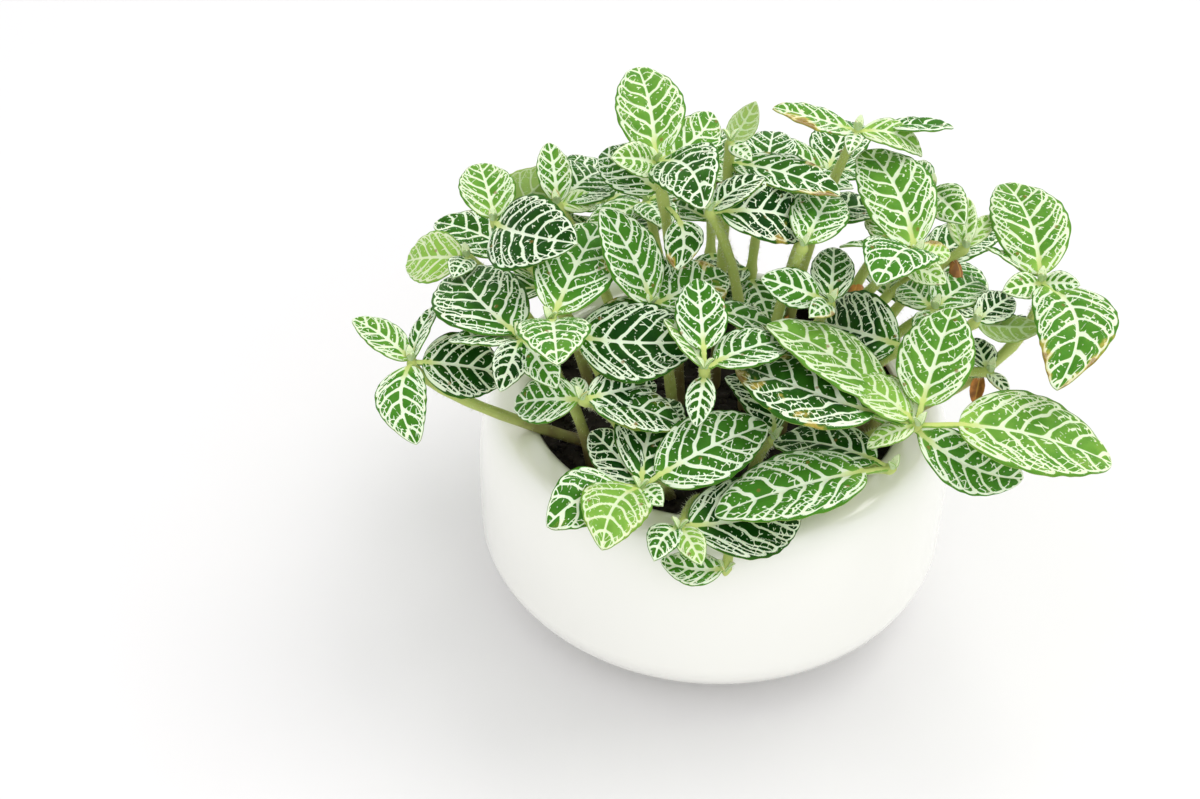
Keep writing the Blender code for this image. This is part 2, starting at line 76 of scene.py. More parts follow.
# The plain solids' own dimensions: the leaves are settled against these, with
# CLEARANCE between one shoot and the next.
STEM_RADIUS = 0.0017
STEM_TIP_RADIUS = 0.0012
STEM_SIDES = 6
STEM_DEPTH = 0.012
LEVEL_RINGS = 2
STEM_STEPS = (0.0, 0.3, 0.65, 1.0)
SOIL_LEVEL = 0.058
BUD_LENGTH = 0.002
STALK_RADIUS = 0.0007
RIB_THICKNESS = 0.0010
EDGE_THICKNESS = 0.0007
LEAF_FOLD = math.radians(12)
LEAF_CUP = 0.12
SMALL_LEAF = 0.033
TINY_LEAF = 0.0165
BLADE_ROWS = (0.0, 0.12, 0.45, 0.8, 1.0)
SMALL_BLADE_ROWS = (0.0, 0.2, 0.7, 1.0)
TINY_BLADE_ROWS = (0.0, 0.4, 1.0)
CLEARANCE = 0.0005

# How finely the pieces are made.
BOWL_TURNS = 160
PROFILE_STEPS = 22
FLOOR_LEVEL = 0.006
SOIL_RINGS = 56
SOIL_TURNS = 120
# The soil's unevenness: how often it rises and falls in a metre, and by how much.
SOIL_RELIEF = ((60.0, 0.0012), (190.0, 0.0008), (520.0, 0.0005))
SOIL_GAP = 0.0004
CRUMBS = 1500
FINE_STEM_SIDES = 12
FINE_STEM_STEPS = 26
# The bud's rings: each one's rise in mm and its share of the stem's radius.
BUD_RINGS = ((0.6, 0.95), (1.2, 0.7), (1.7, 0.4), (2.0, 0.08))
# A hair's foot has HAIR_RADIUS, and stands HAIR_DEPTH of the stem's radius out.
HAIR_RADIUS = 0.00006
HAIR_DEPTH = 0.72
HAIRS_LEAST = 200
HAIRS_PER_METRE = 3500
BLADE_COLUMNS = 12
RIB_COLUMNS = 2

# The vein pattern, shared by the blade's relief and its colour. A leaf has VEINS_FEW
# side veins and VEINS_MORE for each MAP_SCALE mm of its reach. A side vein leans
# VEIN_LEAN forwards for each mm outwards, and curls further forwards near the margin.
# The leaf's own maps are in units of MAP_SCALE mm.
MAP_SCALE = 50.0
VEINS_FEW = 5.0
VEINS_MORE = 4.0
VEIN_LEAN = 0.66
VEIN_CURL = 0.4
SIDE_STEP = 0.35
RUNG_LEAN = 0.9
RUNG_STEP = 2.1

# The stage: each lamp's name, place, size, power and colour, and the camera.
LAMPS = (("Window", (1.15, 0.45, 2.8), 1.9, 32.0, (1.0, 0.985, 0.965)),
         ("Fill", (0.35, -1.1, 0.75), 1.0, 2.0, (1.0, 1.0, 1.0)))
LIT_PLACE = (0, 0, 0.08)
SKY_STRENGTH = 0.96
CAMERA_PLACE = (-0.0336, -0.383, 0.3685)
CAMERA_TILT = math.radians(51.5)
CAMERA_LENS = 50
CAMERA_SENSOR = 36

# A leaf leaves its stem at `along` (1 is the top) and reaches its tip `reach` mm
# away, in the direction `turn` (degrees from +X) and `lift` (degrees up). `roll`
# tips its left side up, `tone` runs from 0, an old dark leaf, to 1, a pale new
# one, `stalk` is the bare share of its length, `arch` its rise and `sway` its bow
# to the left, as shares of its reach.
Leaf = namedtuple("Leaf", "along turn lift reach width roll tone stalk arch sway",
                  defaults=(0, 0.5, 0.06, 0.09, 0.0))
# A stem stands in the soil at `root`, ends at `top` (mm), and bends over a control
# point that is `lean` of the way across and `rise` of the way up.
Stem = namedtuple("Stem", "root top leaves lean rise", defaults=(0.25, 0.62))
REAR_TONES = (0.3, 0.5, 0.4, 0.6, 0.2, 0.35, 0.25)


def rear(*shapes):
    """The leaves of a shoot at the back, whose tones follow one order."""
    return [Leaf(*shape, tone=tone) for shape, tone in zip(shapes, REAR_TONES)]


STEMS = {
    "back_left": Stem((-10, 6), (-19, -3, 145), [
        Leaf(1, 98, 20, 34, 19, -5, 0.7, sway=-0.03),
        Leaf(1, -134, 28, 19, 10, -55, 0.75),
        Leaf(1, -70, 10, 33, 18, 25, 0.25, sway=0.12),
        Leaf(1, 48, 13, 24, 14, 20, 0.65, sway=-0.12),
        Leaf(0.97, 20, 14, 19, 10, 0, 0.5),
        Leaf(0.85, 128, 2, 26, 15, -30, 0.3),
        Leaf(0.8, -80, -22, 21, 11, 5, 0.3, stalk=0.35, sway=0.15),
    ]),
    "back_mid": Stem((1, 14), (1, 6, 146), [
        Leaf(1, 54, 30, 14, 8, 195, 0.4),
        Leaf(1, -60, 0, 10, 5, 25, 0.6),
        Leaf(0.9, -28, -5, 32, 16, 5, 0.3, arch=0.06),
        Leaf(0.88, 6, -28, 19, 11, 45, 0.1),
    ]),
    "mid_arch": Stem((9, 3), (-5, -14, 137), [
        Leaf(1, 24, -24, 32, 18, 40, 0.05, arch=0.2),
        Leaf(1, 26, 22, 17, 12, -5, 0.15),
    ], lean=0.1),
    "mid_right": Stem((12, -5), (19, -20, 130), [
        Leaf(1, 68, 1, 28, 16, 10, 0.5),
    ]),
    "inner_small": Stem((18, -13), (27, -24, 115), [
        Leaf(1, 82, 12, 21, 12, 0, 0.25),
        Leaf(1, 176, 22, 20, 11, -40, 0.45, stalk=0.2),
        Leaf(1, -124, 14, 12, 7, -25, 0.5),
    ]),
    "back_right": Stem((20, 16), (35, 10, 147), [
        Leaf(1, 180, 18, 24, 12, -5, 0.65, arch=0.02),
        Leaf(1, 3, 2, 26, 12, -10, 0.4, stalk=0.35, arch=0.04),
        Leaf(1, -6, -18, 19, 11, 15, 0.8, arch=0.2),
        Leaf(1, 80, -28, 24, 15, 10, 0.4, arch=0.04),
        Leaf(1, -108, -4, 10, 5, -5, 0.5),
    ]),
    "back_pale": Stem((31, 13), (56, 7, 131), [
        Leaf(1, -74, 6, 21, 12, 30, 0.65),
        Leaf(1, 104, -6, 17, 10, -25, 0.5),
    ]),
    "right_back": Stem((27, 3), (48, -22, 129), [
        Leaf(1, 105, 15, 39, 20, -15, 0.65, sway=-0.06),
        Leaf(1, 28, -14, 12, 7, 40, 0.9),
        Leaf(1, -123, 11, 24, 20, 0, 0.5, arch=0.2),
        Leaf(0.97, 156, -4, 19, 8, 20, 0.6),
        Leaf(0.93, -42, -2, 13, 8, 35, 0.8),
    ]),
    "back_olive": Stem((39, 6), (65, -4, 119), [
        Leaf(1, 80, 30, 16, 6, 0, 0.8),
        Leaf(1, 50, 12, 16, 6, 15, 0.9),
        Leaf(1, 106, 30, 12, 5, -15, 0.9),
    ]),
    "right_mid": Stem((25, -21), (46, -35, 109), [
        Leaf(1, 115, -22, 39, 23, -40, 0.1),
    ]),
    "right_mid_top": Stem((34, -8), (55, -21, 111), [
        Leaf(1, 62, -6, 26, 15, 10, 0.5),
        Leaf(1, 104, -14, 20, 11, -25, 0.5),
        Leaf(1, -104, 16, 17, 10, 0, 0.5),
    ]),
    "right_far": Stem((40, -9), (83, -19, 118), [
        Leaf(1, 95, 10, 40, 21, -10, 0.68, sway=-0.05),
        Leaf(1, -94, -9, 38, 21, 10, 0.6, sway=0.18),
        Leaf(1, -152, 8, 13, 8, -35, 0.7),
        Leaf(1, -38, 22, 11, 7, 45, 0.6),
        Leaf(0.95, 136, 18, 19, 8, 25, 0.6, stalk=0.4),
        Leaf(0.6, 72, -8, 21, 12, 0, 0.1, stalk=0.3),
    ], lean=1.1, rise=0.56),
    "right_low": Stem((41, -18), (65, -27, 111), [
        Leaf(1, 4, -6, 19, 9, 205, 0.8),
        Leaf(1, 46, -2, 18, 10, 20, 0.1),
    ]),
    "right_under": Stem((45, -15), (71, -26, 94), [
        Leaf(1, 98, 5, 14, 9, 0, 0.05),
        Leaf(1, -60, -10, 9, 5, 0, 0.2),
        Leaf(0.75, 20, -10, 11, 6, 0, 0.1),
    ], lean=0.3, rise=0.9),
    "front_right": Stem((31, -30), (47, -55, 99), [
        Leaf(1, -9, -7, 50, 30, 5, 0.72, stalk=0.2),
        Leaf(0.96, -6, -26, 34, 15, 40, 0.5, sway=-0.12),
        Leaf(1, 120, -4, 24, 14, -25, 0.85),
        Leaf(0.98, 156, 6, 49, 31, 0, 0.2, stalk=0.2, sway=0.13),
        Leaf(0.94, 148, 21, 45, 23, 5, 0.75, stalk=0.2),
        Leaf(1, -160, -14, 14, 8, 0, 0.9),
        Leaf(1, 67, 31, 34, 20, 0, 0.65, stalk=0.15),
        Leaf(1, 150, 20, 22, 15, 0, 0.9, stalk=0.12),
    ]),
    "front_right_low": Stem((21, -39), (41, -59, 88), [
        Leaf(1, -167, -4, 47, 25, 0, 0.5, stalk=0.15, sway=0.04),
        Leaf(1, 150, -8, 33, 19, 0, 0.15, stalk=0.12),
    ]),
    "centre": Stem((-4, -27), (-7, -46, 110), [
        Leaf(1, 30, -18, 27, 15, 25, 0.35, stalk=0.12),
        Leaf(1, 94, 34, 25, 14, 0, 0.45, stalk=0.2),
        Leaf(1, 132, 28, 17, 9, 15, 0.7),
        Leaf(0.93, -102, -36, 14, 8, 0, 0.3),
    ]),
    "centre_back": Stem((-12, -11), (-20, -24, 114), [
        Leaf(1, 39, -3, 27, 17, 25, 0.4),
        Leaf(1, 138, 36, 29, 18, -5, 0.5),
        Leaf(1, -142, 12, 18, 11, -35, 0.4),
        Leaf(0.95, 2, -12, 34, 14, 0, 0.4, stalk=0.5),
        Leaf(0.92, 88, 38, 18, 10, 0, 0.2),
    ]),
    "shade": Stem((9, -29), (13, -39, 81), [
        Leaf(1, 116, 8, 26, 15, -15, 0.05, sway=-0.2),
    ]),
    "front": Stem((-14, -37), (-23, -63, 85), [
        Leaf(1, -148, 1, 28, 16, -25, 0.45, stalk=0.25, sway=-0.1),
        Leaf(1, -112, 5, 27, 18, -10, 0.85, sway=-0.1),
        Leaf(1, 74, 5, 34, 19, 10, 0.1, sway=0.08),
        Leaf(0.98, 25, 13, 37, 21, 20, 0.35, stalk=0.12),
        Leaf(0.96, 126, 8, 23, 13, -20, 0.05),
        Leaf(1, -62, 14, 11, 7, 20, 0.6),
    ], lean=0.3),
    "front_low": Stem((-4, -41), (-13, -69, 77), [
        Leaf(1, 24, -15, 36, 24, 25, 0.05, sway=-0.08),
        Leaf(1, -120, 0, 14, 9, -10, 0.4, sway=-0.1),
        Leaf(1, -70, -2, 14, 8, 10, 0.9),
    ], lean=0.4, rise=1.0),
    "front_drop": Stem((8, -43), (-1, -73, 66), [
        Leaf(1, 172, 2, 17, 10, -20, 0.5, sway=0.12),
    ], lean=0.6, rise=3.5),
    "left_mid": Stem((-23, -26), (-38, -47, 101), [
        Leaf(1, 148, -26, 24, 14, -40, 0.45),
        Leaf(1, 28, -8, 22, 13, 35, 0.1),
        Leaf(0.96, -4, -24, 26, 16, 10, 0.2),
        Leaf(1, 102, -2, 10, 5, -5, 0.5),
    ]),
    "left_top": Stem((-27, -13), (-46, -36, 118), [
        Leaf(1, -86, 18, 33, 19, 0, 0.6),
        Leaf(1, 70, 12, 37, 22, 10, 0.5),
        Leaf(0.82, -4, -4, 34, 24, 30, 0.12, sway=-0.08),
    ]),
    "left_big": Stem((-36, -22), (-54, -34, 111), [
        Leaf(1, 118, 0, 40, 25, -10, 0.24, sway=0.07),
        Leaf(1, -106, -12, 18, 10, -10, 0.1),
        Leaf(1, -60, -10, 19, 11, 15, 0.5),
        Leaf(0.95, 172, -4, 21, 11, 5, 0.3),
    ]),
    "top_left": Stem((-35, 3), (-62, 0, 125), [
        Leaf(1, -48, 16, 35, 23, 40, 0.12, sway=-0.06),
        Leaf(1, 52, 11, 27, 19, 205, 0.95, arch=0.1),
        Leaf(1, 104, 14, 23, 16, 0, 0.7),
    ]),
    "top_left_back": Stem((-24, 7), (-45, 2, 129), [
        Leaf(1, 66, -10, 29, 20, 15, 0.3),
        Leaf(1, 100, 34, 19, 10, 5, 0.6),
        Leaf(1, 34, -10, 13, 7, 40, 0.9),
    ]),
    "far_left": Stem((-34, -14), (-84, -27, 98), [
        Leaf(1, 152, 24, 20, 11, -5, 0.65),
        Leaf(1, 62, 34, 18, 9, -30, 0.3),
        Leaf(1, 8, -16, 26, 20, 30, 0.1, stalk=0.1),
        Leaf(1, -84, -26, 24, 14, 0, 0.5, sway=-0.14),
    ], lean=0.95, rise=0.7),
    "left_back": Stem((-44, 8), (-70, 2, 112), [
        Leaf(1, 143, -24, 26, 16, -45, 1),
        Leaf(1, -104, -18, 13, 8, -10, 0.3),
    ]),
    "rear_1": Stem((-36, 22), (-57, 38, 88), rear(
        (1, 150, 5, 32, 19, -10), (1, -20, 12, 22, 13), (1, 62, 8, 28, 17),
        (0.72, 110, -5, 34, 19), (0.72, -170, -8, 32, 18))),
    "rear_2": Stem((-20, 34), (-32, 60, 93), rear(
        (1, 118, 0, 33, 19), (1, -62, 22, 20, 13), (1, 30, 10, 27, 16), (1, -152, 12, 22, 14),
        (0.7, 75, -12, 34, 21), (0.7, 160, -8, 30, 18))),
    "rear_3": Stem((0, 40), (2, 70, 100), rear(
        (1, 95, -5, 30, 18), (1, -80, 25, 21, 13), (1, 8, 10, 27, 16), (1, 175, 14, 22, 14),
        (0.68, 50, -14, 32, 19), (0.68, 132, -14, 30, 18), (0.5, -84, -8, 24, 16))),
    "rear_4": Stem((20, 36), (36, 60, 104), rear(
        (1, 70, 2, 33, 19), (1, -110, 20, 20, 13), (1, -20, 10, 26, 16), (1, 155, 14, 24, 14),
        (0.7, 30, -12, 33, 19), (0.7, 110, -12, 30, 18))),
    "rear_5": Stem((38, 24), (64, 36, 86), rear(
        (1, 35, 4, 32, 19), (1, -150, 20, 20, 13), (1, -55, 8, 26, 16), (1, 125, 8, 26, 15),
        (0.68, 0, -12, 32, 18), (0.68, 75, -12, 30, 18))),
    "rear_top_left": Stem((-12, 26), (-20, 34, 110), rear(
        (1, 100, 5, 30, 18), (1, -75, 10, 20, 13), (1, 15, 12, 24, 15), (1, -150, -16, 22, 14),
        (0.5, -20, -12, 26, 16))),
    "rear_top_right": Stem((10, 27), (14, 35, 114), rear(
        (1, 80, 5, 30, 18), (1, -100, 10, 20, 13), (1, -10, 8, 26, 15), (1, 168, 12, 22, 14),
        (0.5, -150, -12, 24, 15), (0.45, -60, -12, 24, 15))),
}


def srgb(red, green, blue):
    """A colour picked on a 0 to 255 scale, as the linear one that shaders use."""
    scaled = (value / 255 for value in (red, green, blue))
    return tuple(((value + 0.055) / 1.055) ** 2.4 if value > 0.04045 else value / 12.92
                 for value in scaled)


def dimmed(colour, share):
    """A colour with its parts scaled by share, and no brighter than white."""
    return tuple(min(1.0, part * share) for part in colour)


def length(name, size, about):
    """A property for a length in metres."""
    return bpy.props.FloatProperty(name=name, default=size, min=0.0, unit="LENGTH",
                                   precision=5, description=about)


def tint(name, colour, about):
    """A property for a colour."""
    return bpy.props.FloatVectorProperty(name=name, default=colour, size=3, min=0.0, max=1.0,
                                         subtype="COLOR", description=about)


class PlantSizes(bpy.types.PropertyGroup):
    """Sizes that a user would change."""

    bowl_radius: length("Bowl radius", 0.070, "The bowl's greatest radius")
    bowl_height: length("Bowl height", 0.068, "From the base to the top of the rim")
    rim_radius: length("Rim radius", 0.058, "Radius of the crest of the rim")
    base_radius: length("Base radius", 0.034, "Radius of the flat base")
    belly_height: length("Belly height", 0.024, "Height of the widest part")
    wall: length("Wall", 0.0048, "Thickness of the bowl's wall")
    stem_radius: length("Stem radius", 0.0017, "Radius of a stem at the soil")
    blade: length("Blade thickness", 0.0006, "Thickness of a leaf beside its midrib")
    quilting: length("Quilting", 0.0006, "How far a blade swells between its veins")
    hair: length("Hair length", 0.0015, "Length of the longest stem hairs")
    crumb: length("Crumb size", 0.0011, "Radius of a middling crumb of soil")


class PlantColours(bpy.types.PropertyGroup):
    """Colours that a user would change."""

    glaze: tint("Glaze", srgb(245, 245, 239), "The bowl's glaze")
    blade_old: tint("Old blade", srgb(10, 58, 6), "Between the veins of an old leaf")
    blade_mid: tint("Grown blade", srgb(70, 132, 36), "Between the veins of a grown leaf")
    blade_new: tint("New blade", srgb(152, 198, 84), "Between the veins of a new leaf")
    vein: tint("Vein", srgb(236, 248, 222), "The net of veins")
    vein_base: tint("Vein base", srgb(196, 212, 96), "The midrib next to the stalk")
    freckle: tint("Freckle", srgb(136, 104, 52), "Brown freckles on a few blades")
    yellowed: tint("Yellowed", srgb(222, 190, 92), "Ageing patches on a few blades")
    underside: tint("Underside", srgb(146, 178, 92), "The back of a leaf")
    stem: tint("Stem", srgb(176, 192, 110), "The young upper stem")
    stem_foot: tint("Stem foot", srgb(112, 98, 58), "The woody foot of a stem")
    hair: tint("Hair", srgb(238, 240, 220), "The hairs on the stems")
    soil: tint("Soil", srgb(38, 28, 22), "Damp potting soil")
    dry_leaf: tint("Dry leaf", srgb(214, 140, 66), "Dead leaves on the soil")
    floor: tint("Floor", srgb(234, 233, 234), "The table top")


class Value:
    """A number or a colour that varies over a surface, with arithmetic."""

    def __init__(self, graph, socket):
        self.graph = graph
        self.socket = socket

    def maths(self, operation, *others):
        """A Math node on this value and the others."""
        return self.graph.maths(operation, self, *others)

    def __add__(self, other):
        return self.maths("ADD", other)

    def __sub__(self, other):
        return self.maths("SUBTRACT", other)

    def __mul__(self, other):
        return self.maths("MULTIPLY", other)

    def __truediv__(self, other):
        return self.maths("DIVIDE", other)

    def __pow__(self, other):
        return self.maths("POWER", other)

    def __gt__(self, other):
        return self.maths("GREATER_THAN", other)

    def __rsub__(self, other):
        return self.graph.maths("SUBTRACT", other, self)

    def __abs__(self):
        return self.maths("ABSOLUTE")

    __radd__ = __add__
    __rmul__ = __mul__

    def fraction(self):
        """What is left above the whole number below."""
        return self.maths("FRACT")

    def floor(self):
        """The whole number below."""
        return self.maths("FLOOR")

    def larger(self, other):
        """The larger of two values."""
        return self.maths("MAXIMUM", other)

    def step(self, low, high):
        """Runs smoothly from 0 at low to 1 at high."""
        return self.graph.add("ShaderNodeMapRange", {"interpolation_type": "SMOOTHSTEP"},
                              {"Value": self, "From Min": low, "From Max": high})


class Finish:
    """A material under construction, with its nodes."""

    def __init__(self, name, roughness, **constants):
        self.material = bpy.data.materials.new(name)
        self.material.use_nodes = True
        self.tree = self.material.node_tree
        self.shader = self.tree.nodes["Principled BSDF"]
        self.shader.inputs["Roughness"].default_value = roughness
        for socket, value in constants.items():
            self.shader.inputs[socket.replace("_", " ")].default_value = value

    def add(self, kind, settings=None, inputs=None, output=0):
        """A node with its settings and inputs; returns one of its outputs."""
        node = self.tree.nodes.new(kind)
        for name, value in (settings or {}).items():
            setattr(node, name, value)
        for name, value in (inputs or {}).items():
            self.feed(node.inputs[name], value)
        return Value(self, node.outputs[output])

    def feed(self, socket, value):
        """Link a value to a socket, or set the socket to a constant."""
        if isinstance(value, Value):
            self.tree.links.new(value.socket, socket)
        elif socket.type == "RGBA":
            socket.default_value = (*value[:3], 1.0)
        else:
            socket.default_value = value

    def maths(self, operation, *values):
        """A Math node."""
        return self.add("ShaderNodeMath", {"operation": operation}, dict(enumerate(values)))

    def mix(self, share, first, second):
        """Between two colours, by share."""
        return self.add("ShaderNodeMix", {"data_type": "RGBA"},
                        {0: share, 6: first, 7: second}, 2)

    def uv(self, name):
        """The two coordinates of one of the piece's own UV maps."""
        place = self.add("ShaderNodeUVMap", {"uv_map": name})
        return self.split(place)

    def split(self, vector):
        """The first two parts of a vector."""
        return (self.add("ShaderNodeSeparateXYZ", None, {0: vector}, 0),
                self.add("ShaderNodeSeparateXYZ", None, {0: vector}, 1))

    def join(self, x, y, z=0.0):
        """A vector of three numbers."""
        return self.add("ShaderNodeCombineXYZ", None, {0: x, 1: y, 2: z})

    def place(self):
        """The place on the piece, in metres."""
        return self.add("ShaderNodeTexCoord", None, None, 3)

    def cloud(self, vector, scale, detail=2.0):
        """Soft noise between 0 and 1."""
        return self.add("ShaderNodeTexNoise", None,
                        {"Vector": vector, "Scale": scale, "Detail": detail})

    def cells(self, vector, scale, feature, output=0):
        """Irregular cells in two dimensions."""
        return self.add("ShaderNodeTexVoronoi",
                        {"voronoi_dimensions": "2D", "feature": feature},
                        {"Vector": vector, "Scale": scale}, output)

    def chance(self, x, y):
        """A number between 0 and 1 that is drawn anew for every x and y."""
        return self.add("ShaderNodeTexWhiteNoise", {"noise_dimensions": "2D"},
                        {"Vector": self.join(x, y)})

    def colour(self, value):
        """The surface's colour."""
        self.feed(self.shader.inputs["Base Color"], value)

    def gloss(self, value):
        """The surface's roughness."""
        self.feed(self.shader.inputs["Roughness"], value)

    def relief(self, height, depth, strength=1.0):
        """Fine relief: height runs from 0 to 1 over depth metres."""
        bump = self.add("ShaderNodeBump", None,
                        {"Strength": strength, "Distance": depth, "Height": height})
        self.feed(self.shader.inputs["Normal"], bump)


def vein_start(down, away, rim, reach, wander):
    """How far along the leaf the side vein through a spot leaves the midrib."""
    return (down - away * (rim * rim * VEIN_CURL + VEIN_LEAN)) / reach + wander * 0.05


def vein_phase(start, scale, seed, left):
    """Counts the side veins: one runs wherever the phase is half past a whole."""
    count = scale * VEINS_MORE + VEINS_FEW
    return start * (1.15 - 0.25 * start) * count + left * SIDE_STEP * seed + seed * 7.0


def soft_line(gap, width):
    """A line's field: 1 on it, half at its edge and nothing at twice its width."""
    return 1.0 - (gap / width).step(0.0, 2.0)


def side_veins(made, phase, pace, rim, girth, seed, sway):
    """The field of the side veins, some of which fork half way out."""
    width = (0.58 - 0.22 * rim) * girth
    gap = abs(phase.fraction() - 0.5) * pace
    inside = 1.0 - (rim - sway * 0.1).step(0.8, 0.93)
    vein = soft_line(gap, width) * inside
    fork_phase = phase - rim.step(0.38, 0.86) * 0.5
    forked = made.chance(fork_phase.floor(), seed) > 0.45
    fork = soft_line(abs(fork_phase.fraction() - 0.5) * pace, width * 0.7)
    return vein + fork * forked * rim.step(0.36, 0.5) * inside


def arches(made, phase, rim, half, girth, seed):
    """The field of the arches that join the side veins in pairs near the margin."""
    lane = (phase + 0.5).floor()
    along = phase + 0.5 - lane
    uneven = (made.chance(lane, seed) - 0.5) * 0.04
    arch = (along * (1.0 - along) * 4.0) ** 0.6 * 0.09 + 0.83 + uneven
    return soft_line(abs(rim - arch) * half, 0.32 * girth + 0.03)


def cross_veins(made, phase, down, out, rim, girth, seed):
    """The field of fine cross veins, like uneven rungs; some stop half way."""
    wobble = made.cloud(made.join(down * 0.5, out * 0.5, seed * 43.0), 1.0, 0.0) - 0.5
    rung = (abs(out) + down * RUNG_LEAN) / RUNG_STEP + seed * 11.0
    border = made.add("ShaderNodeTexVoronoi",
                      {"voronoi_dimensions": "2D", "feature": "DISTANCE_TO_EDGE"},
                      {"Vector": made.join(phase - 0.3, rung + wobble * 0.5),
                       "Scale": 1.0, "Randomness": 0.6})
    whole = made.cloud(made.join(phase * 1.4, rung * 1.1, seed * 31.0), 1.0, 0.0)
    whole = (whole + rim * 0.34).step(0.64, 0.72)
    net = soft_line(border * RUNG_STEP * 0.75, 0.11 * girth + 0.015) * whole
    return net * (1.0 - rim.step(0.88, 0.95))


def spots(made, place, low, high, rarity):
    """Small round spots, in the share of the cells that rarity leaves."""
    spot = 1.0 - made.cells(place, 1.0, "F1").step(low, high)
    drawn = made.add("ShaderNodeSeparateColor", None, {0: made.cells(place, 1.0, "F1", 1)})
    return spot * (drawn > rarity)


def leaf_finish(colours):
    """Green blades with a raised pale net of veins, darker on the older leaves."""
    made = Finish("veined leaf", 0.42, Specular_IOR_Level=0.08, Subsurface_Weight=0.08,
                  Subsurface_Scale=0.002)
    share, across = made.uv("blade")
    down, out = (part * MAP_SCALE for part in made.uv("flat"))
    wander = made.uv("weave")[0]
    marks = made.add("ShaderNodeAttribute", {"attribute_name": "leaf"})
    under = made.add("ShaderNodeAttribute", {"attribute_name": "leaf"}, None, 3)
    tone, seed, size = (made.add("ShaderNodeSeparateColor", None, {0: marks}, part)
                        for part in range(3))
    # Everything is in millimetres on the flat blade from here on.
    away = abs(out)
    rim = abs(across)
    half = away / rim.larger(0.03)
    reach = size * MAP_SCALE
    girth = size * 0.45 + 0.5
    sway = made.cloud(made.join(down * 0.3, out * 0.3, seed * 19.0), 1.0, 0.0) - 0.5
    start = vein_start(down, away, rim, reach, wander)
    phase = vein_phase(start, size, seed, across > 0.0) + sway * 0.3
    pace = reach / ((1.15 - 0.5 * start) * (size * VEINS_MORE + VEINS_FEW))
    pace = pace * (0.84 - rim * rim * 0.3)
    midrib_width = (1.0 - share) * 0.5 * girth + 0.2
    lines = side_veins(made, phase, pace, rim, girth, seed, sway) + soft_line(away, midrib_width)
    lines = lines + arches(made, phase, rim, half, girth, seed) * share.step(0.0, 0.08)
    lines = lines + cross_veins(made, phase, down, out, rim, girth, seed) * 0.85
    speck = spots(made, made.join(down * 0.7, out * 0.7 + seed * 13.0), 0.07, 0.16, 0.75)
    veins = lines.step(0.4, 0.62).larger(speck * 0.6)
    veins = veins * (1.0 - rim.step(0.955, 0.98))
    # The blade between the veins: a paler halo beside them and soft cloudy patches.
    halo = lines.step(0.0, 0.4)
    patch = made.cloud(made.join(down * 0.16, out * 0.16, seed * 53.0), 1.0, 3.0)
    age = tone + (patch - 0.5) * 0.4 + halo * 0.12 + (1.0 - share.step(0.0, 0.22)) * 0.3
    blade = made.mix(age.step(0.0, 0.6), colours.blade_old, colours.blade_mid)
    blade = made.mix(age.step(0.5, 1.15), blade, colours.blade_new)
    blade = made.mix(rim.step(0.9, 0.97) * 0.35, blade, colours.blade_mid)
    near_stalk = (1.0 - share.step(0.02, 0.3)) * (1.0 - (away / midrib_width).step(1.0, 2.2))
    fresh = made.mix((tone - 0.4).step(0.0, 0.6) * 0.3, colours.vein, colours.vein_base)
    vein = made.mix(near_stalk * 0.8, fresh, colours.vein_base)
    top = made.mix(veins * 0.97, blade, vein)
    # Now and then there is a brown freckle.
    freckle = spots(made, made.join(down * 0.14 + seed * 5.0, out * 0.14), 0.03, 0.1, 0.93)
    top = made.mix(freckle * 0.7, top, colours.freckle)
    # A few blades yellow and then brown in patches, mostly out towards the tip.
    ageing = patch + rim * 0.28 + share * 0.22
    aged = made.chance(seed, 5.0) > 0.84
    top = made.mix(ageing.step(0.88, 1.0) * aged * 0.6, top, colours.yellowed)
    top = made.mix(ageing.step(0.98, 1.05) * aged * 0.8, top, colours.freckle)
    back = made.mix(lines.step(0.5, 0.9) * 0.35, colours.underside, colours.vein)
    made.colour(made.mix(under, top, back))
    made.gloss(0.38 + veins * 0.14 + patch * 0.1)
    grain = made.cloud(made.join(down, out, seed * 7.0), 3.2, 2.0)
    made.relief(0.6 - veins * 0.45 + grain * 0.28, 0.00035, 0.7)
    return made.material


def stem_finish(colours):
    """Pale green stems, browner at the foot, with faint streaks."""
    made = Finish("downy stem", 0.55, Subsurface_Weight=0.08, Subsurface_Scale=0.002)
    share, around = made.uv("blade")
    streaks = made.cloud(made.join(share * 9.0, around * 14.0), 1.0, 3.0)
    blotch = made.cloud(made.place(), 260.0, 2.0)
    height = (share + (blotch - 0.5) * 0.3).step(0.02, 0.5)
    green = made.mix(streaks * 0.5, colours.stem, colours.vein_base)
    made.colour(made.mix(height, colours.stem_foot, green))
    made.relief(streaks * 0.7 + blotch * 0.3, 0.0003, 0.6)
    return made.material


def hair_finish(colours):
    """Fine pale hairs."""
    made = Finish("stem hair", 0.6)
    made.colour(made.mix(made.cloud(made.place(), 900.0) * 0.5, colours.hair, colours.stem))
    return made.material


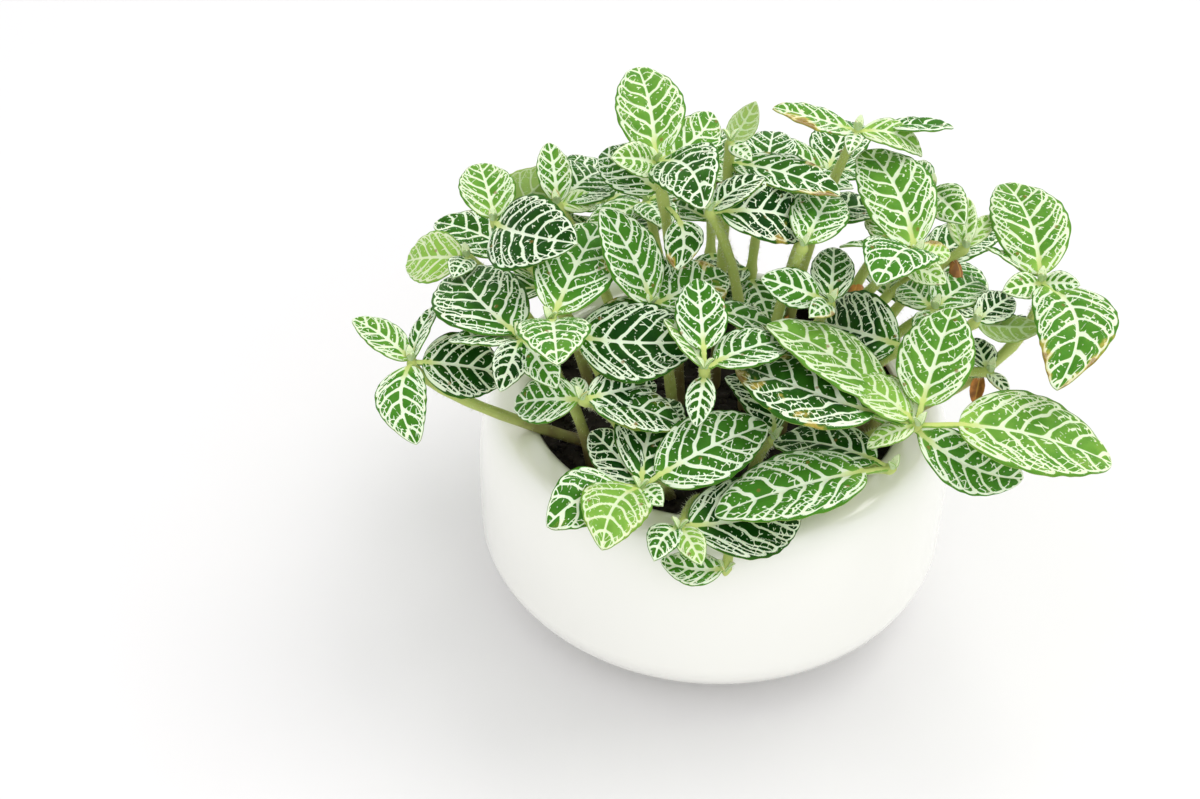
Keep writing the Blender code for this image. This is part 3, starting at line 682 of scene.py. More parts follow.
def glaze_finish(colours):
    """Thick white glaze: glassy, faintly uneven, a touch warmer where it thins."""
    made = Finish("white glaze", 0.2, Coat_Weight=0.7, Coat_Roughness=0.05)
    place = made.place()
    drift = made.cloud(place, 22.0, 2.0)
    height = made.add("ShaderNodeSeparateXYZ", None, {0: place}, 2)
    thin = height.step(0.0655, 0.0682) * 0.5
    warm = tuple(part * share for part, share in zip(colours.glaze, (0.97, 0.94, 0.88)))
    pale = made.mix(drift.step(0.35, 0.7) * 0.35, colours.glaze, dimmed(colours.glaze, 0.96))
    pits = made.cells(made.join(made.split(place)[0], height), 420.0, "F1")
    made.colour(made.mix(thin, pale, warm))
    made.gloss(0.16 + drift * 0.12)
    made.relief(drift * 0.9 + (1.0 - pits.step(0.0, 0.06)) * -0.1, 0.0005, 0.25)
    return made.material


def soil_finish(colours):
    """Damp dark soil with painted shade in its hollows, and a few paler fibres."""
    made = Finish("damp soil", 0.9)
    place = made.place()
    clods = made.cloud(place, 420.0, 5.0)
    fibre = made.cloud(place, 1400.0, 2.0)
    # Where the clods' relief is low the soil is dimmed: painted shade in the hollows.
    brown = made.mix(clods.step(0.35, 0.7), dimmed(colours.soil, 0.45), colours.soil)
    made.colour(made.mix(fibre.step(0.62, 0.72) * 0.7, brown, dimmed(colours.soil, 2.6)))
    made.gloss(0.95 - clods.step(0.55, 0.8) * 0.35)
    made.relief(clods * 0.8 + fibre * 0.2, 0.0008, 0.9)
    return made.material


def dry_finish(colours):
    """Crisp dead leaves, brown with paler ribs."""
    made = Finish("dry leaf", 0.62)
    share, across = made.uv("blade")
    blotch = made.cloud(made.place(), 240.0, 4.0)
    rib = 1.0 - abs(across).step(0.03, 0.12)
    brown = made.mix(blotch.step(0.35, 0.65), dimmed(colours.dry_leaf, 0.35), colours.dry_leaf)
    made.colour(made.mix(rib * 0.4, brown, dimmed(colours.dry_leaf, 2.2)))
    made.relief(blotch + share * 0.2, 0.0006, 0.8)
    return made.material


def floor_finish(colours):
    """A plain pale matt table top."""
    made = Finish("table top", 0.55)
    made.colour(made.mix(made.cloud(made.place(), 3.0) * 0.3, colours.floor,
                         dimmed(colours.floor, 0.985)))
    return made.material


def deselect_all():
    """Nothing selected, so that an operator acts on its own piece only."""
    for other in bpy.context.view_layer.objects:
        other.select_set(False)
    bpy.context.view_layer.objects.active = None


def make_active(piece):
    """Select one piece alone."""
    deselect_all()
    piece.select_set(True)
    bpy.context.view_layer.objects.active = piece


def add_piece(name, points, faces, finishes, kinds=None):
    """A mesh object at the origin; kinds gives each face's material."""
    mesh = bpy.data.meshes.new(name)
    mesh.from_pydata(np.asarray(points).tolist(), [], faces)
    for finish in finishes:
        mesh.materials.append(finish)
    if kinds is not None:
        mesh.polygons.foreach_set("material_index", np.asarray(kinds, dtype=np.int32))
    mesh.polygons.foreach_set("use_smooth", np.ones(len(mesh.polygons), dtype=bool))
    mesh.update()
    piece = bpy.data.objects.new(name, mesh)
    bpy.context.scene.collection.objects.link(piece)
    return piece


def give_coordinates(piece, name, pairs):
    """A UV map from one pair of numbers for each point."""
    layer = piece.data.uv_layers.new(name=name)
    corners = np.empty(len(piece.data.loops), dtype=np.int32)
    piece.data.loops.foreach_get("vertex_index", corners)
    layer.data.foreach_set("uv", np.asarray(pairs, dtype=np.float32)[corners].ravel())


def give_marks(piece, name, marks):
    """A colour attribute from four numbers for each point."""
    layer = piece.data.color_attributes.new(name, "FLOAT_COLOR", "POINT")
    layer.data.foreach_set("color", np.asarray(marks, dtype=np.float32).ravel())


def turned(name, profile, steps, finish):
    """Spin a profile of (radius, height) from axis to axis in edit mode."""
    points = [(radius, 0.0, height) for radius, height in profile]
    mesh = bpy.data.meshes.new(name)
    mesh.from_pydata(points, [(i, i + 1) for i in range(len(points) - 1)], [])
    mesh.materials.append(finish)
    piece = bpy.data.objects.new(name, mesh)
    bpy.context.scene.collection.objects.link(piece)
    make_active(piece)
    bpy.ops.object.mode_set(mode="EDIT")
    bpy.ops.mesh.select_all(action="SELECT")
    bpy.ops.mesh.spin(steps=steps, angle=math.tau, center=(0, 0, 0), axis=(0, 0, 1))
    bpy.ops.mesh.select_all(action="SELECT")
    bpy.ops.mesh.remove_doubles(threshold=0.00002)
    bpy.ops.mesh.normals_make_consistent(inside=False)
    bpy.ops.object.mode_set(mode="OBJECT")
    bpy.ops.object.shade_smooth()
    return piece


def settle_in(piece, slot, *nodes):
    """Ride on the root and stand for the nodes; the slot is not used."""
    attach(piece, "root")
    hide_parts(*nodes)


def super_arc(start, end, power, steps, from_level):
    """Points of a superellipse quarter from start to end."""
    points = []
    for step in range(steps + 1):
        angle = 0.5 * math.pi * step / steps
        across = math.sin(angle) ** (2 / power)
        along = 1 - math.cos(angle) ** (2 / power)
        if not from_level:
            across, along = along, across
        points.append((start[0] + (end[0] - start[0]) * across,
                       start[1] + (end[1] - start[1]) * along))
    return points


def bowl_outside(sizes):
    """The outer profile, from the base's edge to the crest of the rim."""
    belly = (sizes.bowl_radius, sizes.belly_height)
    lower = super_arc((sizes.base_radius, 0.0), belly, 1.85, PROFILE_STEPS, True)
    upper = super_arc(belly, (sizes.rim_radius, sizes.bowl_height), 3.5, 2 * PROFILE_STEPS,
                      False)
    return lower + upper[1:]


def bowl_inside(sizes):
    """The inner profile, from the rim down to the edge of the floor."""
    low, high = FLOOR_LEVEL + 0.002, sizes.bowl_height - 0.004
    wall = [(radius - sizes.wall, height)
            for radius, height in reversed(bowl_outside(sizes)) if low < height < high]
    crest, top = sizes.rim_radius, sizes.bowl_height
    lip = [(crest - 0.0012, top - 0.00005), (crest - 0.0024, top - 0.00045),
           (crest - 0.0035, top - 0.0012), (crest - 0.0043, top - 0.0023)]
    return lip + wall + [(sizes.base_radius + 0.004, FLOOR_LEVEL)]


class NERVE_OT_bowl(bpy.types.Operator):
    """Add the glazed bowl"""

    bl_idname = "nerve.bowl"
    bl_label = "Glazed bowl"

    def execute(self, context):
        sizes = context.scene.nerve_sizes
        foot = [(0.0, 0.0012), (sizes.base_radius - 0.006, 0.0012),
                (sizes.base_radius - 0.004, 0.0001), (sizes.base_radius - 0.0015, 0.0)]
        profile = foot + bowl_outside(sizes) + bowl_inside(sizes) + [(0.0, FLOOR_LEVEL)]
        bowl = turned("glazed_bowl", profile, BOWL_TURNS,
                      glaze_finish(context.scene.nerve_colours))
        # Poured and fired by hand: the wall is a hair out of true.
        for vertex in bowl.data.vertices:
            drift = noise.noise(vertex.co * 38.0) * 0.00012
            away = Vector((vertex.co.x, vertex.co.y, 0.0))
            if away.length > 0.04 and vertex.co.z > 0.004:
                vertex.co -= away.normalized() * abs(drift)
        settle_in(bowl, "glaze", "bowl")
        return {"FINISHED"}


def unit_crumb():
    """Points and faces of one small lump, from an ico sphere."""
    deselect_all()
    bpy.ops.mesh.primitive_ico_sphere_add(subdivisions=1, radius=1.0)
    lump = bpy.context.active_object
    points = np.array([vertex.co for vertex in lump.data.vertices])
    faces = [tuple(face.vertices) for face in lump.data.polygons]
    bpy.data.objects.remove(lump, do_unlink=True)
    return points, faces


def soil_bed(inside, brim):
    """Points and faces of the soil: an uneven top and a body that fills the bowl."""
    turns = SOIL_TURNS
    points, faces = [(0.0, 0.0, SOIL_LEVEL)], []
    for ring in range(1, SOIL_RINGS + 1):
        radius = brim * ring / SOIL_RINGS
        for turn in range(turns):
            angle = math.tau * turn / turns
            spot = Vector((radius * math.cos(angle), radius * math.sin(angle), 0.0))
            rise = sum(noise.noise(spot * often) * much for often, much in SOIL_RELIEF)
            points.append((spot.x, spot.y, SOIL_LEVEL + 0.0002 + rise))
    foot = [(radius - SOIL_GAP, height + SOIL_GAP) for height, radius in reversed(inside)
            if height < SOIL_LEVEL - 0.001]
    for radius, height in foot:
        points += [(radius * math.cos(math.tau * turn / turns),
                    radius * math.sin(math.tau * turn / turns), height) for turn in range(turns)]
    points.append((0.0, 0.0, foot[-1][1]))
    rings = SOIL_RINGS + len(foot)
    for turn in range(turns):
        after = (turn + 1) % turns
        faces.append((0, 1 + turn, 1 + after))
        for ring in range(rings - 1):
            low = 1 + ring * turns
            faces.append((low + turn, low + turns + turn, low + turns + after, low + after))
        last = 1 + (rings - 1) * turns
        faces.append((last + turn, len(points) - 1, last + after))
    return points, faces


def scatter_crumbs(points, faces, brim, middling):
    """Add the crumbs that lie on the soil to its points and faces."""
    draw = random.Random(11)
    shape, sides = unit_crumb()
    for _ in range(CRUMBS):
        radius = (brim - 0.003) * math.sqrt(draw.random())
        angle = draw.uniform(0, math.tau)
        size = middling * draw.choice((0.35, 0.5, 0.5, 0.7, 0.9, 1.2, 1.7))
        stretch = np.array([draw.uniform(0.7, 1.4), draw.uniform(0.7, 1.2),
                            draw.uniform(0.5, 0.9)])
        twist = draw.uniform(0, math.tau)
        turn = np.array([[math.cos(twist), -math.sin(twist), 0.0],
                         [math.sin(twist), math.cos(twist), 0.0], [0.0, 0.0, 1.0]])
        place = np.array([radius * math.cos(angle), radius * math.sin(angle),
                          SOIL_LEVEL + 0.3 * size + draw.uniform(0, 0.0006)])
        base = len(points)
        points += ((shape * stretch * size) @ turn.T + place).tolist()
        faces += [tuple(base + index for index in side) for side in sides]


class NERVE_OT_soil(bpy.types.Operator):
    """Add the crumbly soil"""

    bl_idname = "nerve.soil"
    bl_label = "Soil"

    def execute(self, context):
        sizes = context.scene.nerve_sizes
        inside = sorted((height, radius) for radius, height in bowl_inside(sizes))
        heights, radii = zip(*inside)
        brim = float(np.interp(SOIL_LEVEL, heights, radii)) - SOIL_GAP
        points, faces = soil_bed(inside, brim)
        scatter_crumbs(points, faces, brim, sizes.crumb)
        soil = add_piece("potting_soil", points, faces,
                         [soil_finish(context.scene.nerve_colours)])
        settle_in(soil, "soil", "soil")
        return {"FINISHED"}


def stem_point(stem, share):
    """A point on a stem's centre line, in metres; share runs from soil to top."""
    root = np.array([*stem.root, SOIL_LEVEL / MM])
    top = np.array(stem.top, float)
    bend = root + (top - root) * np.array([stem.lean, stem.lean, stem.rise])
    line = (1 - share) ** 2 * root + 2 * share * (1 - share) * bend + share ** 2 * top
    return line * MM


def tube(centres, radii, sides):
    """Points and faces of a closed tube, whose first rings, in the soil, are level."""
    points, faces = [], []
    last = len(centres) - 1
    for index, (centre, radius) in enumerate(zip(centres, radii)):
        ahead = centres[min(index + 1, last)] - centres[max(index - 1, 0)]
        if index < LEVEL_RINGS:
            ahead = np.array([0.0, 0.0, 1.0])
        ahead = ahead / np.linalg.norm(ahead)
        side = np.cross([0.0, 1.0, 0.0], ahead)
        side = side / np.linalg.norm(side)
        other = np.cross(ahead, side)
        for step in range(sides):
            angle = math.tau * step / sides
            points.append(centre + radius * (math.cos(angle) * side + math.sin(angle) * other))
    for ring in range(last):
        for step in range(sides):
            low = ring * sides
            near, far = low + step, low + (step + 1) % sides
            faces.append((near, far, far + sides, near + sides))
    faces.append(tuple(reversed(range(sides))))
    faces.append(tuple(range(len(points) - sides, len(points))))
    return points, faces


def stem_solid(stem, extra):
    """Points and faces of the plain stem, thickened by extra."""
    centres = [stem_point(stem, 0.0) - (0, 0, STEM_DEPTH)]
    centres += [stem_point(stem, share) for share in STEM_STEPS]
    ahead = centres[-1] - stem_point(stem, 0.95)
    centres.append(centres[-1] + ahead / np.linalg.norm(ahead) * BUD_LENGTH)
    radii = [STEM_RADIUS, STEM_RADIUS]
    radii += [STEM_RADIUS + (STEM_TIP_RADIUS - STEM_RADIUS) * share for share in STEM_STEPS[1:]]
    radii.append(0.6 * STEM_TIP_RADIUS)
    return tube(centres, [radius + extra for radius in radii], STEM_SIDES)


def leaf_axes(leaf):
    """The leaf's own directions: along it, to its left and up from its face."""
    turn, lift, roll = (math.radians(angle) for angle in (leaf.turn, leaf.lift, leaf.roll))
    along = np.array([math.cos(lift) * math.cos(turn), math.cos(lift) * math.sin(turn),
                      math.sin(lift)])
    level = np.array([-math.sin(turn), math.cos(turn), 0.0])
    above = np.cross(along, level)
    left = math.cos(roll) * level + math.sin(roll) * above
    up = math.cos(roll) * above - math.sin(roll) * level
    return along, left, up


def blade_outline(share):
    """Half-width of a leaf as a share of its greatest, from its base to its tip."""
    share = min(max(share, 0.0), 1.0)
    return max(math.sin(math.pi * share ** 0.85), 0.0) ** (0.55 + 0.2 * share)


def leaf_point(start, axes, leaf, share, across):
    """A point on the plain leaf's middle surface; across runs from -1 to 1."""
    along, left, up = axes
    reach, width = leaf.reach * MM, leaf.width * MM
    blade = (share - leaf.stalk) / (1 - leaf.stalk)
    half = max(0.5 * width * blade_outline(blade), STALK_RADIUS)
    out = across * half
    bow = 4 * share * (1 - share) * reach
    aside = out * math.cos(LEAF_FOLD) + leaf.sway * bow
    height = abs(out) * math.sin(LEAF_FOLD) - LEAF_CUP * out * out / (0.5 * width) + leaf.arch * bow
    return start + share * reach * along + aside * left + height * up


def leaf_solid(stem, leaf, extra=0.0):
    """Points and faces of one plain closed leaf; extra thickens it on both faces."""
    axes = leaf_axes(leaf)
    start = stem_point(stem, leaf.along)
    rows = SMALL_BLADE_ROWS if leaf.reach * MM < SMALL_LEAF else BLADE_ROWS
    if leaf.reach * MM < TINY_LEAF:
        rows = TINY_BLADE_ROWS
    shares = [0.0] + [leaf.stalk + row * (1 - leaf.stalk) for row in rows]
    points = []
    for share in shares:
        for side in (1, -1):
            for across in (-1, 0, 1):
                thickness = RIB_THICKNESS if across == 0 else EDGE_THICKNESS
                if share <= leaf.stalk:
                    thickness = 2 * STALK_RADIUS
                offset = side * (0.5 * thickness + extra) * axes[2]
                points.append(leaf_point(start, axes, leaf, share, across) + offset)
    faces = []
    for row in range(len(shares) - 1):
        low, high = 6 * row, 6 * row + 6
        for column in (0, 1):
            a, b, c, d = low + column, low + column + 1, high + column + 1, high + column
            faces += [(a, b, c), (a, c, d)] if column == 0 else [(a, b, d), (b, c, d)]
            a, b, c, d = a + 3, b + 3, c + 3, d + 3
            faces += [(a, c, b), (a, d, c)] if column == 0 else [(a, d, b), (b, d, c)]
        faces += [(low, high, high + 3, low + 3), (low + 2, low + 5, high + 5, high + 2)]
    end = 6 * (len(shares) - 1)
    faces += [(0, 3, 4, 1), (1, 4, 5, 2)]
    faces += [(end, end + 1, end + 4, end + 3), (end + 1, end + 2, end + 5, end + 4)]
    return points, faces


def tree_of(points, faces):
    """A search tree of a solid, for finding where it meets another."""
    return BVHTree.FromPolygons([Vector(point) for point in points], faces, epsilon=0.0)


def nudges():
    """Small changes of lift, turn and roll, the smallest first."""
    changes = [(lift, turn, roll) for lift in range(-32, 33, 4) for turn in range(-24, 25, 6)
               for roll in (-20, -10, 0, 10, 20)]
    return sorted(changes, key=lambda change: (abs(change[0]) + abs(change[1])
                                               + 0.6 * abs(change[2]), change))


def settle():
    """Give each leaf the smallest nudge that keeps it clear of every other shoot.

    The shoots at the front are settled first and keep their place, as in the solids.
    """
    placed = []

    def place(owner, points, faces):
        cloud = np.array(points)
        placed.append((owner, cloud.min(0), cloud.max(0), tree_of(points, faces)))

    def clear(owner, points, faces):
        cloud = np.array(points)
        low, high = cloud.min(0), cloud.max(0)
        tree = None
        for other, near, far, solid in placed:
            if other == owner or (near > high).any() or (low > far).any():
                continue
            tree = tree or tree_of(points, faces)
            if tree.overlap(solid):
                return False
        return True

    for name in ("bowl", "soil"):
        mesh = frame["nodes"][name].data
        place(name, [vertex.co for vertex in mesh.vertices],
              [tuple(face.vertices) for face in mesh.polygons])
    order = sorted(STEMS, key=lambda name: STEMS[name].top[1])
    for name in order:
        place(name, *stem_solid(STEMS[name], CLEARANCE))
    settled = {}
    for name in order:
        stem = STEMS[name]
        leaves = []
        for leaf in stem.leaves:
            for lift, turn, roll in nudges():
                tried = leaf._replace(lift=leaf.lift + lift, turn=leaf.turn + turn,
                                      roll=leaf.roll + roll)
                solid = leaf_solid(stem, tried, CLEARANCE)
                if clear(name, *solid):
                    break
            place(name, *solid)
            leaves.append(tried)
        settled[name] = leaves
    return settled


class Growth:
    """Points, faces and marks of one shoot, gathered part by part."""

    def __init__(self):
        self.points, self.faces, self.kinds = [], [], []
        self.blade, self.flat, self.weave, self.marks = [], [], [], []
        self.count = 0

    def add(self, points, faces, kind, blade=None, flat=None, weave=None, marks=None):
        """Take in one part; what it doesn't give is filled with noughts."""
        points = np.asarray(points, dtype=float)
        blank = np.zeros((len(points), 2))
        self.points.append(points)
        self.faces += [tuple(self.count + index for index in face) for face in faces]
        self.kinds += [kind] * len(faces)
        self.blade.append(blank if blade is None else blade)
        self.flat.append(blank if flat is None else flat)
        self.weave.append(blank if weave is None else weave)
        self.marks.append(np.zeros((len(points), 4)) if marks is None else marks)
        self.count += len(points)

    def finish(self, name, finishes):
        """One mesh object of all the parts."""
        piece = add_piece(name, np.concatenate(self.points), self.faces, finishes, self.kinds)
        give_coordinates(piece, "blade", np.concatenate(self.blade))
        give_coordinates(piece, "flat", np.concatenate(self.flat))
        give_coordinates(piece, "weave", np.concatenate(self.weave))
        give_marks(piece, "leaf", np.concatenate(self.marks))
        return piece


def fine_outline(share):
    """The blade's outline with the blunter tip of the grown leaf."""
    power = 0.55 + 0.2 * share - 0.16 * share ** 4
    return max(math.sin(math.pi * min(share, 1.0) ** 0.85), 0.0) ** power


def eased(value, low, high):
    """Runs smoothly from 0 at low to 1 at high."""
    share = np.clip((value - low) / (high - low), 0.0, 1.0)
    return share * share * (3 - 2 * share)


def wandering(down, out, seed):
    """A slow wobble of the veins over a blade, between about -0.5 and 0.5."""
    wobble = [noise.noise((x * 0.2, y * 0.2, seed * 37.0))
              for x, y in zip(down.ravel(), out.ravel())]
    return 0.5 * np.array(wobble).reshape(down.shape)


def blade_faces(rows, wide):
    """Faces that close two grids of points, the upper side first, into one blade."""
    under = rows * wide
    faces = []
    for row in range(rows - 1):
        for column in range(wide - 1):
            a = row * wide + column
            b, c, d = a + 1, a + wide + 1, a + wide
            faces.append((a, d, c, b))
            faces.append((under + a, under + b, under + c, under + d))
        a, d = row * wide, (row + 1) * wide
        faces.append((a, under + a, under + d, d))
        a, d = a + wide - 1, d + wide - 1
        faces.append((a, d, under + d, under + a))
    last = (rows - 1) * wide
    for column in range(wide - 1):
        a, b = column, column + 1
        faces.append((a, b, under + b, under + a))
        a, b = last + column, last + column + 1
        faces.append((a, under + a, under + b, b))
    return faces


def add_blade(growth, start, axes, leaf, seed, sizes, curl=0.0):
    """One fine leaf: a round stalk that opens into a quilted blade with a midrib."""
    along, left, up = axes
    steps = int(leaf.reach * 1.25) + 7
    run = np.linspace(0.0, 1.0, steps + 1)
    run = 0.75 * run + 0.25 * (0.5 - 0.5 * np.cos(np.pi * run))
    shares = np.concatenate([np.linspace(0.0, leaf.stalk, 5)[:-1],
                             leaf.stalk + (1 - leaf.stalk) * run])
    blade = np.clip((shares - leaf.stalk) / (1 - leaf.stalk), 0.0, 1.0)
    outline = np.array([fine_outline(share) for share in blade])
    half = np.maximum(0.5 * leaf.width * outline, 0.25 + 0.55 * (1 - blade) ** 3)
    scale = leaf.reach / MAP_SCALE
    # The innermost columns follow the midrib, and the others spread over the blade.
    columns = np.arange(-BLADE_COLUMNS, BLADE_COLUMNS + 1)
    step = np.abs(columns)[None, :]
    rib = np.minimum(0.25 + 0.6 * (1 - blade), 0.3 * half)[:, None]
    inner = rib * step / RIB_COLUMNS
    spread = np.maximum(step - RIB_COLUMNS, 0) / (BLADE_COLUMNS - RIB_COLUMNS)
    outer = rib + (half[:, None] - rib) * spread ** 0.9
    away = np.where(step <= RIB_COLUMNS, inner, outer)
    rim = away / half[:, None]
    side = np.sign(columns)[None, :]
    down = np.repeat((shares * leaf.reach)[:, None], len(columns), axis=1)
    across = np.repeat(blade[:, None], len(columns), axis=1)
    wander = wandering(down, away * side, seed)
    start_at = vein_start(down, away, rim, leaf.reach, wander)
    phase = vein_phase(start_at, scale, seed, side > 0)
    swell = np.abs(np.cos(np.pi * phase)) ** 0.7 * eased(away, 0.4, 1.6) * (1 - rim ** 6)
    swell = swell * eased(across, 0.02, 0.12) * (1 - eased(across, 0.93, 1.0))
    # The margin isn't quite even: it waves, and bulges a little between the side veins.
    ruffle = np.sin(phase * math.tau * 0.5 + seed * 9.0) * rim ** 3 * 0.22 * min(1.0, scale * 1.6)
    out = away * side * (1 + 0.012 * np.cos(math.tau * phase) * rim ** 4)
    # The blade follows the plain leaf, with its fold at the midrib eased.
    bow = (4 * shares * (1 - shares) * leaf.reach)[:, None]
    folded = np.sqrt(out ** 2 + 0.9 ** 2) - 0.9
    height = (folded * math.sin(LEAF_FOLD) - LEAF_CUP * out ** 2 / (0.5 * leaf.width)
              + leaf.arch * bow + ruffle)
    aside = out * math.cos(LEAF_FOLD) + leaf.sway * bow
    if curl:
        height = height + curl * rim ** 2 * half[:, None] + curl * 0.3 * leaf.reach * across ** 2
        aside = aside * (1 - 0.35 * abs(curl) * rim ** 2)
    middle = (np.asarray(start) + MM * (down[..., None] * along + aside[..., None] * left
                                        + height[..., None] * up))
    opened = eased(across, 0.0, 0.1)
    lift = sizes.quilting / MM * swell * min(1.0, 0.45 + scale)
    thin = 0.5 * sizes.blade / MM * (1 - 0.55 * rim ** 3)
    round_half = 0.68 * np.sqrt(np.clip(1 - rim ** 2, 0.0, 1.0)) + 0.05
    ridge = (0.25 + 0.35 * (1 - across)) * np.exp(-(away / (0.45 + 0.35 * (1 - across))) ** 2)
    over = opened * (thin + lift - 0.1 * np.exp(-(away / 0.5) ** 2)) + (1 - opened) * round_half
    below = opened * (thin - 0.55 * lift + ridge) + (1 - opened) * round_half
    below = np.maximum(below, 0.12)
    top = middle + MM * over[..., None] * up
    bottom = middle - MM * below[..., None] * up
    points = np.concatenate([top.reshape(-1, 3), bottom.reshape(-1, 3)])
    size = len(points) // 2
    maps = [np.tile(np.stack([first.ravel(), second.ravel()], axis=1), (2, 1))
            for first, second in ((across, rim * side),
                                  (down / MAP_SCALE, away * side / MAP_SCALE),
                                  (wander, np.zeros_like(wander)))]
    marks = np.tile([leaf.tone, seed, scale, 0.0], (2 * size, 1))
    marks[size:, 3] = 1.0
    growth.add(points, blade_faces(*top.shape[:2]), 0, *maps, marks)


def add_stem(growth, stem, leaves, draw, sizes):
    """The tube of a stem, swollen where leaves join, with its bud and its hairs."""
    shares = np.linspace(0.0, 1.0, FINE_STEM_STEPS + 1)
    centres = [stem_point(stem, 0.0) - (0, 0, STEM_DEPTH)]
    centres += [stem_point(stem, share) for share in shares]
    ahead = centres[-1] - stem_point(stem, 0.95)
    ahead = ahead / np.linalg.norm(ahead)
    joints = sorted({leaf.along for leaf in leaves})
    radii = [sizes.stem_radius]
    for share in shares:
        radius = sizes.stem_radius * (1.02 - 0.26 * share)
        swelling = sum(math.exp(-((share - joint) / 0.022) ** 2) for joint in joints)
        radii.append(radius * (1 + 0.25 * min(swelling, 1.0)) + 0.00006 * math.sin(share * 41))
    for rise, shrink in BUD_RINGS:
        centres.append(stem_point(stem, 1.0) + ahead * rise * MM)
        radii.append(sizes.stem_radius * 0.8 * shrink)
    points, faces = tube(centres, radii, FINE_STEM_SIDES)
    runs = [0.0, *shares] + [1.0] * len(BUD_RINGS)
    blade = [(run, step / FINE_STEM_SIDES) for run in runs for step in range(FINE_STEM_SIDES)]
    growth.add(points, faces, 1, blade=np.array(blade))
    hairs = int(HAIRS_LEAST + HAIRS_PER_METRE * np.linalg.norm(centres[-1] - centres[1]))
    for _ in range(hairs):
        share = draw.random() ** 0.7 * 0.99 + 0.005
        middle = stem_point(stem, share)
        way = stem_point(stem, share + 0.005) - stem_point(stem, share - 0.005)
        way = Vector(way).normalized()
        out = way.orthogonal().normalized()
        out.rotate(Quaternion(way, draw.uniform(0, math.tau)))
        foot = Vector(middle) + out * sizes.stem_radius * HAIR_DEPTH
        lean = (out + way * draw.uniform(-0.2, 0.5)).normalized()
        add_hair(growth, foot, lean, sizes.hair * draw.uniform(0.45, 1.0))
    return ahead


def add_hair(growth, foot, lean, size):
    """One fine hair, a three-sided spike."""
    side = lean.orthogonal().normalized()
    other = lean.cross(side)
    ring = []
    for step in range(3):
        angle = math.tau * step / 3
        ring.append(foot + HAIR_RADIUS * (math.cos(angle) * side + math.sin(angle) * other))
    growth.add(ring + [foot + lean * size], [(0, 1, 3), (1, 2, 3), (2, 0, 3), (2, 1, 0)], 2)


class NERVE_OT_shoots(bpy.types.Operator):
    """Add the leafy stems"""

    bl_idname = "nerve.shoots"
    bl_label = "Leafy stems"

    def execute(self, context):
        sizes, colours = context.scene.nerve_sizes, context.scene.nerve_colours
        finishes = [leaf_finish(colours), stem_finish(colours), hair_finish(colours)]
        settled = settle()
        for number, (name, stem) in enumerate(STEMS.items()):
            draw = random.Random(100 + number)
            growth = Growth()
            ahead = add_stem(growth, stem, settled[name], draw, sizes)
            for leaf in settled[name]:
                add_blade(growth, stem_point(stem, leaf.along), leaf_axes(leaf), leaf,
                          draw.random(), sizes)
            # Two folded leaflets stand in the bud.
            heading = math.degrees(math.atan2(ahead[1], ahead[0]))
            for side in (0, 180):
                bud = Leaf(1, heading + side + 90, 62, 4.2, 2.4, 0, 0.9, stalk=0.02)
                add_blade(growth, stem_point(stem, 1.0) + ahead * 0.0008, leaf_axes(bud), bud,
                          draw.random(), sizes)
            piece = growth.finish("shoot_" + name, finishes)
            settle_in(piece, "leaf", "stem_" + name)
        return {"FINISHED"}


# Where dead leaves lie, in mm, the way each points, how far it lifts, its length,
# its width and its roll.
DRY_LEAVES = (
    (25, 40, 62, 200, 35, 15, 8, 40),
    (20, 32, 61, 110, 50, 12, 7, -30),
    (38, 26, 60, 20, 30, 14, 8, 20),
    (32, 34, 61, 250, 40, 13, 7, -50),
    (43, 16, 60, 330, 35, 13, 7, 30),
)
# Withered leaves that still hang from a stem: which one, how far up it, and the rest.
WITHERED = (
    ("back_pale", 0.5, 245, -50, 12, 8, 10),
    ("back_olive", 0.94, 300, -55, 11, 6, -20),
    ("back_right", 0.25, 215, -45, 10, 6, 15),
    ("right_far", 0.45, 250, -65, 9, 5, 0),
)


class NERVE_OT_litter(bpy.types.Operator):
    """Add the dead leaves on the soil and on the stems"""

    bl_idname = "nerve.litter"
    bl_label = "Dead leaves"

    def execute(self, context):
        growth = Growth()
        draw = random.Random(5)
        fallen = [(np.array(spot[:3]) * MM, spot[3:]) for spot in DRY_LEAVES]
        fallen += [(stem_point(STEMS[name], along), shape) for name, along, *shape in WITHERED]
        for start, (turn, lift, reach, width, roll) in fallen:
            leaf = Leaf(1, turn, lift, reach, width, roll, 0.0)
            add_blade(growth, start, leaf_axes(leaf), leaf, draw.random(),
                      context.scene.nerve_sizes, curl=draw.choice((-0.7, 0.5, 0.8)))
        piece = growth.finish("dead_leaves", [dry_finish(context.scene.nerve_colours)])
        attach(piece, "root")
        return {"FINISHED"}


def aim_at(lamp, place):
    """Turn a lamp to face a place."""
    lamp.rotation_euler = (Vector(place) - lamp.location).to_track_quat("-Z", "Y").to_euler()


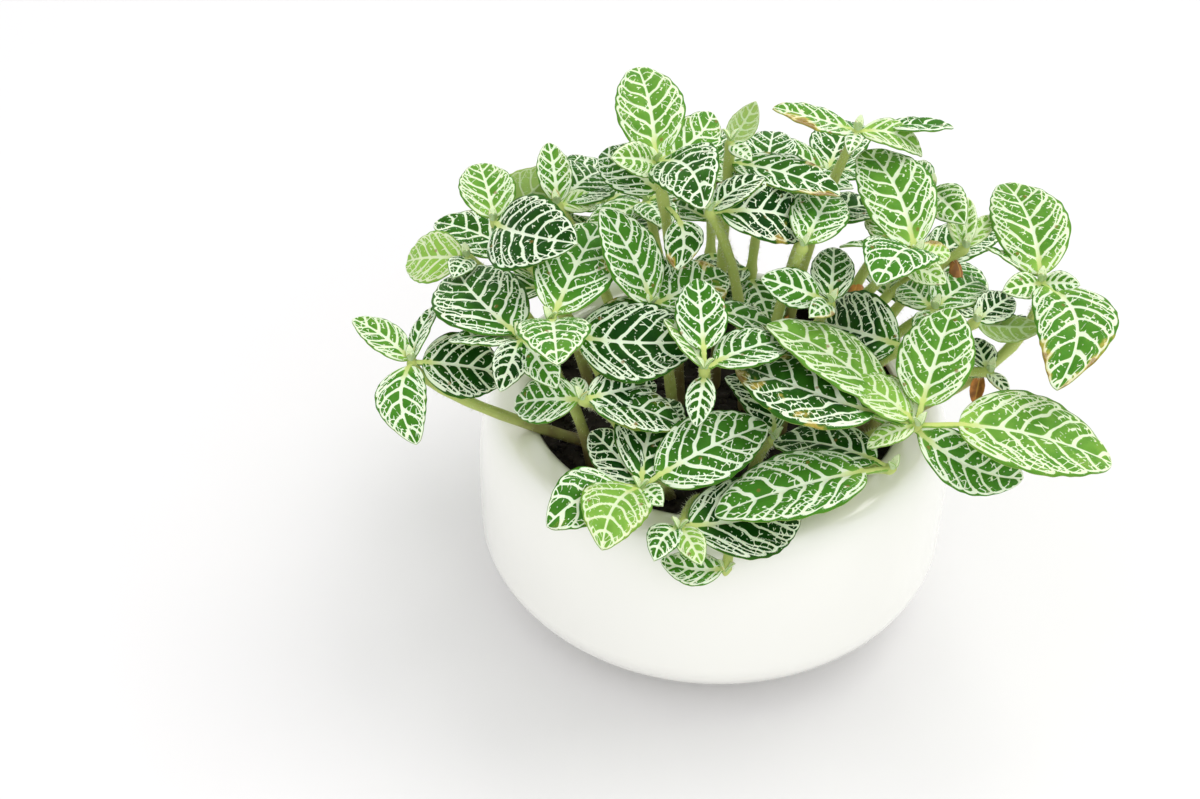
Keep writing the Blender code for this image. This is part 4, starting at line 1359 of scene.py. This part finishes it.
class NERVE_OT_stage(bpy.types.Operator):
    """Add the table top, the soft light and the camera"""

    bl_idname = "nerve.stage"
    bl_label = "Table, light and camera"

    def execute(self, context):
        scene = context.scene
        deselect_all()
        bpy.ops.mesh.primitive_plane_add(size=8.0, location=(0, 0, 0))
        floor = context.active_object
        floor.name = "table_top"
        floor.data.materials.append(floor_finish(scene.nerve_colours))
        world = bpy.data.worlds.new("Bright room")
        world.use_nodes = True
        sky = world.node_tree.nodes["Background"]
        sky.inputs["Color"].default_value = (1.0, 1.0, 1.0, 1.0)
        sky.inputs["Strength"].default_value = SKY_STRENGTH
        scene.world = world
        for name, place, size, power, colour in LAMPS:
            light = bpy.data.lights.new(name, "AREA")
            light.size = size
            light.energy = power
            light.color = colour
            lamp = bpy.data.objects.new(name, light)
            scene.collection.objects.link(lamp)
            lamp.location = place
            aim_at(lamp, LIT_PLACE)
        camera = bpy.data.objects.new("Camera", bpy.data.cameras.new("Camera"))
        scene.collection.objects.link(camera)
        camera.location = CAMERA_PLACE
        camera.rotation_euler = (CAMERA_TILT, 0, 0)
        camera.data.lens = CAMERA_LENS
        camera.data.sensor_width = CAMERA_SENSOR
        camera.data.clip_start = 0.01
        scene.camera = camera
        scene.view_settings.view_transform = "Standard"
        return {"FINISHED"}


class NERVE_PT_panel(bpy.types.Panel):
    """The pieces of the potted nerve plant"""

    bl_label = "Nerve plant"
    bl_idname = "NERVE_PT_panel"
    bl_space_type = "VIEW_3D"
    bl_region_type = "UI"
    bl_category = "Nerve plant"

    def draw(self, context):
        column = self.layout.column()
        for piece in (NERVE_OT_bowl, NERVE_OT_soil, NERVE_OT_litter, NERVE_OT_shoots,
                      NERVE_OT_stage):
            column.operator(piece.bl_idname)
        for group in (context.scene.nerve_sizes, context.scene.nerve_colours):
            column.separator()
            for name in group.__annotations__:
                column.prop(group, name)


CLASSES = (PlantSizes, PlantColours, NERVE_OT_bowl, NERVE_OT_soil, NERVE_OT_litter,
           NERVE_OT_shoots, NERVE_OT_stage, NERVE_PT_panel)


def register():
    """Make the properties, operators and panel known."""
    for one in CLASSES:
        bpy.utils.register_class(one)
    bpy.types.Scene.nerve_sizes = bpy.props.PointerProperty(type=PlantSizes)
    bpy.types.Scene.nerve_colours = bpy.props.PointerProperty(type=PlantColours)


def unregister():
    """Take them away again."""
    del bpy.types.Scene.nerve_colours
    del bpy.types.Scene.nerve_sizes
    for one in reversed(CLASSES):
        bpy.utils.unregister_class(one)


def main():
    """Make the properties known and build every piece."""
    register()
    bpy.ops.nerve.bowl()
    bpy.ops.nerve.soil()
    bpy.ops.nerve.litter()
    bpy.ops.nerve.shoots()
    bpy.ops.nerve.stage()


if __name__ == "__main__":
    main()
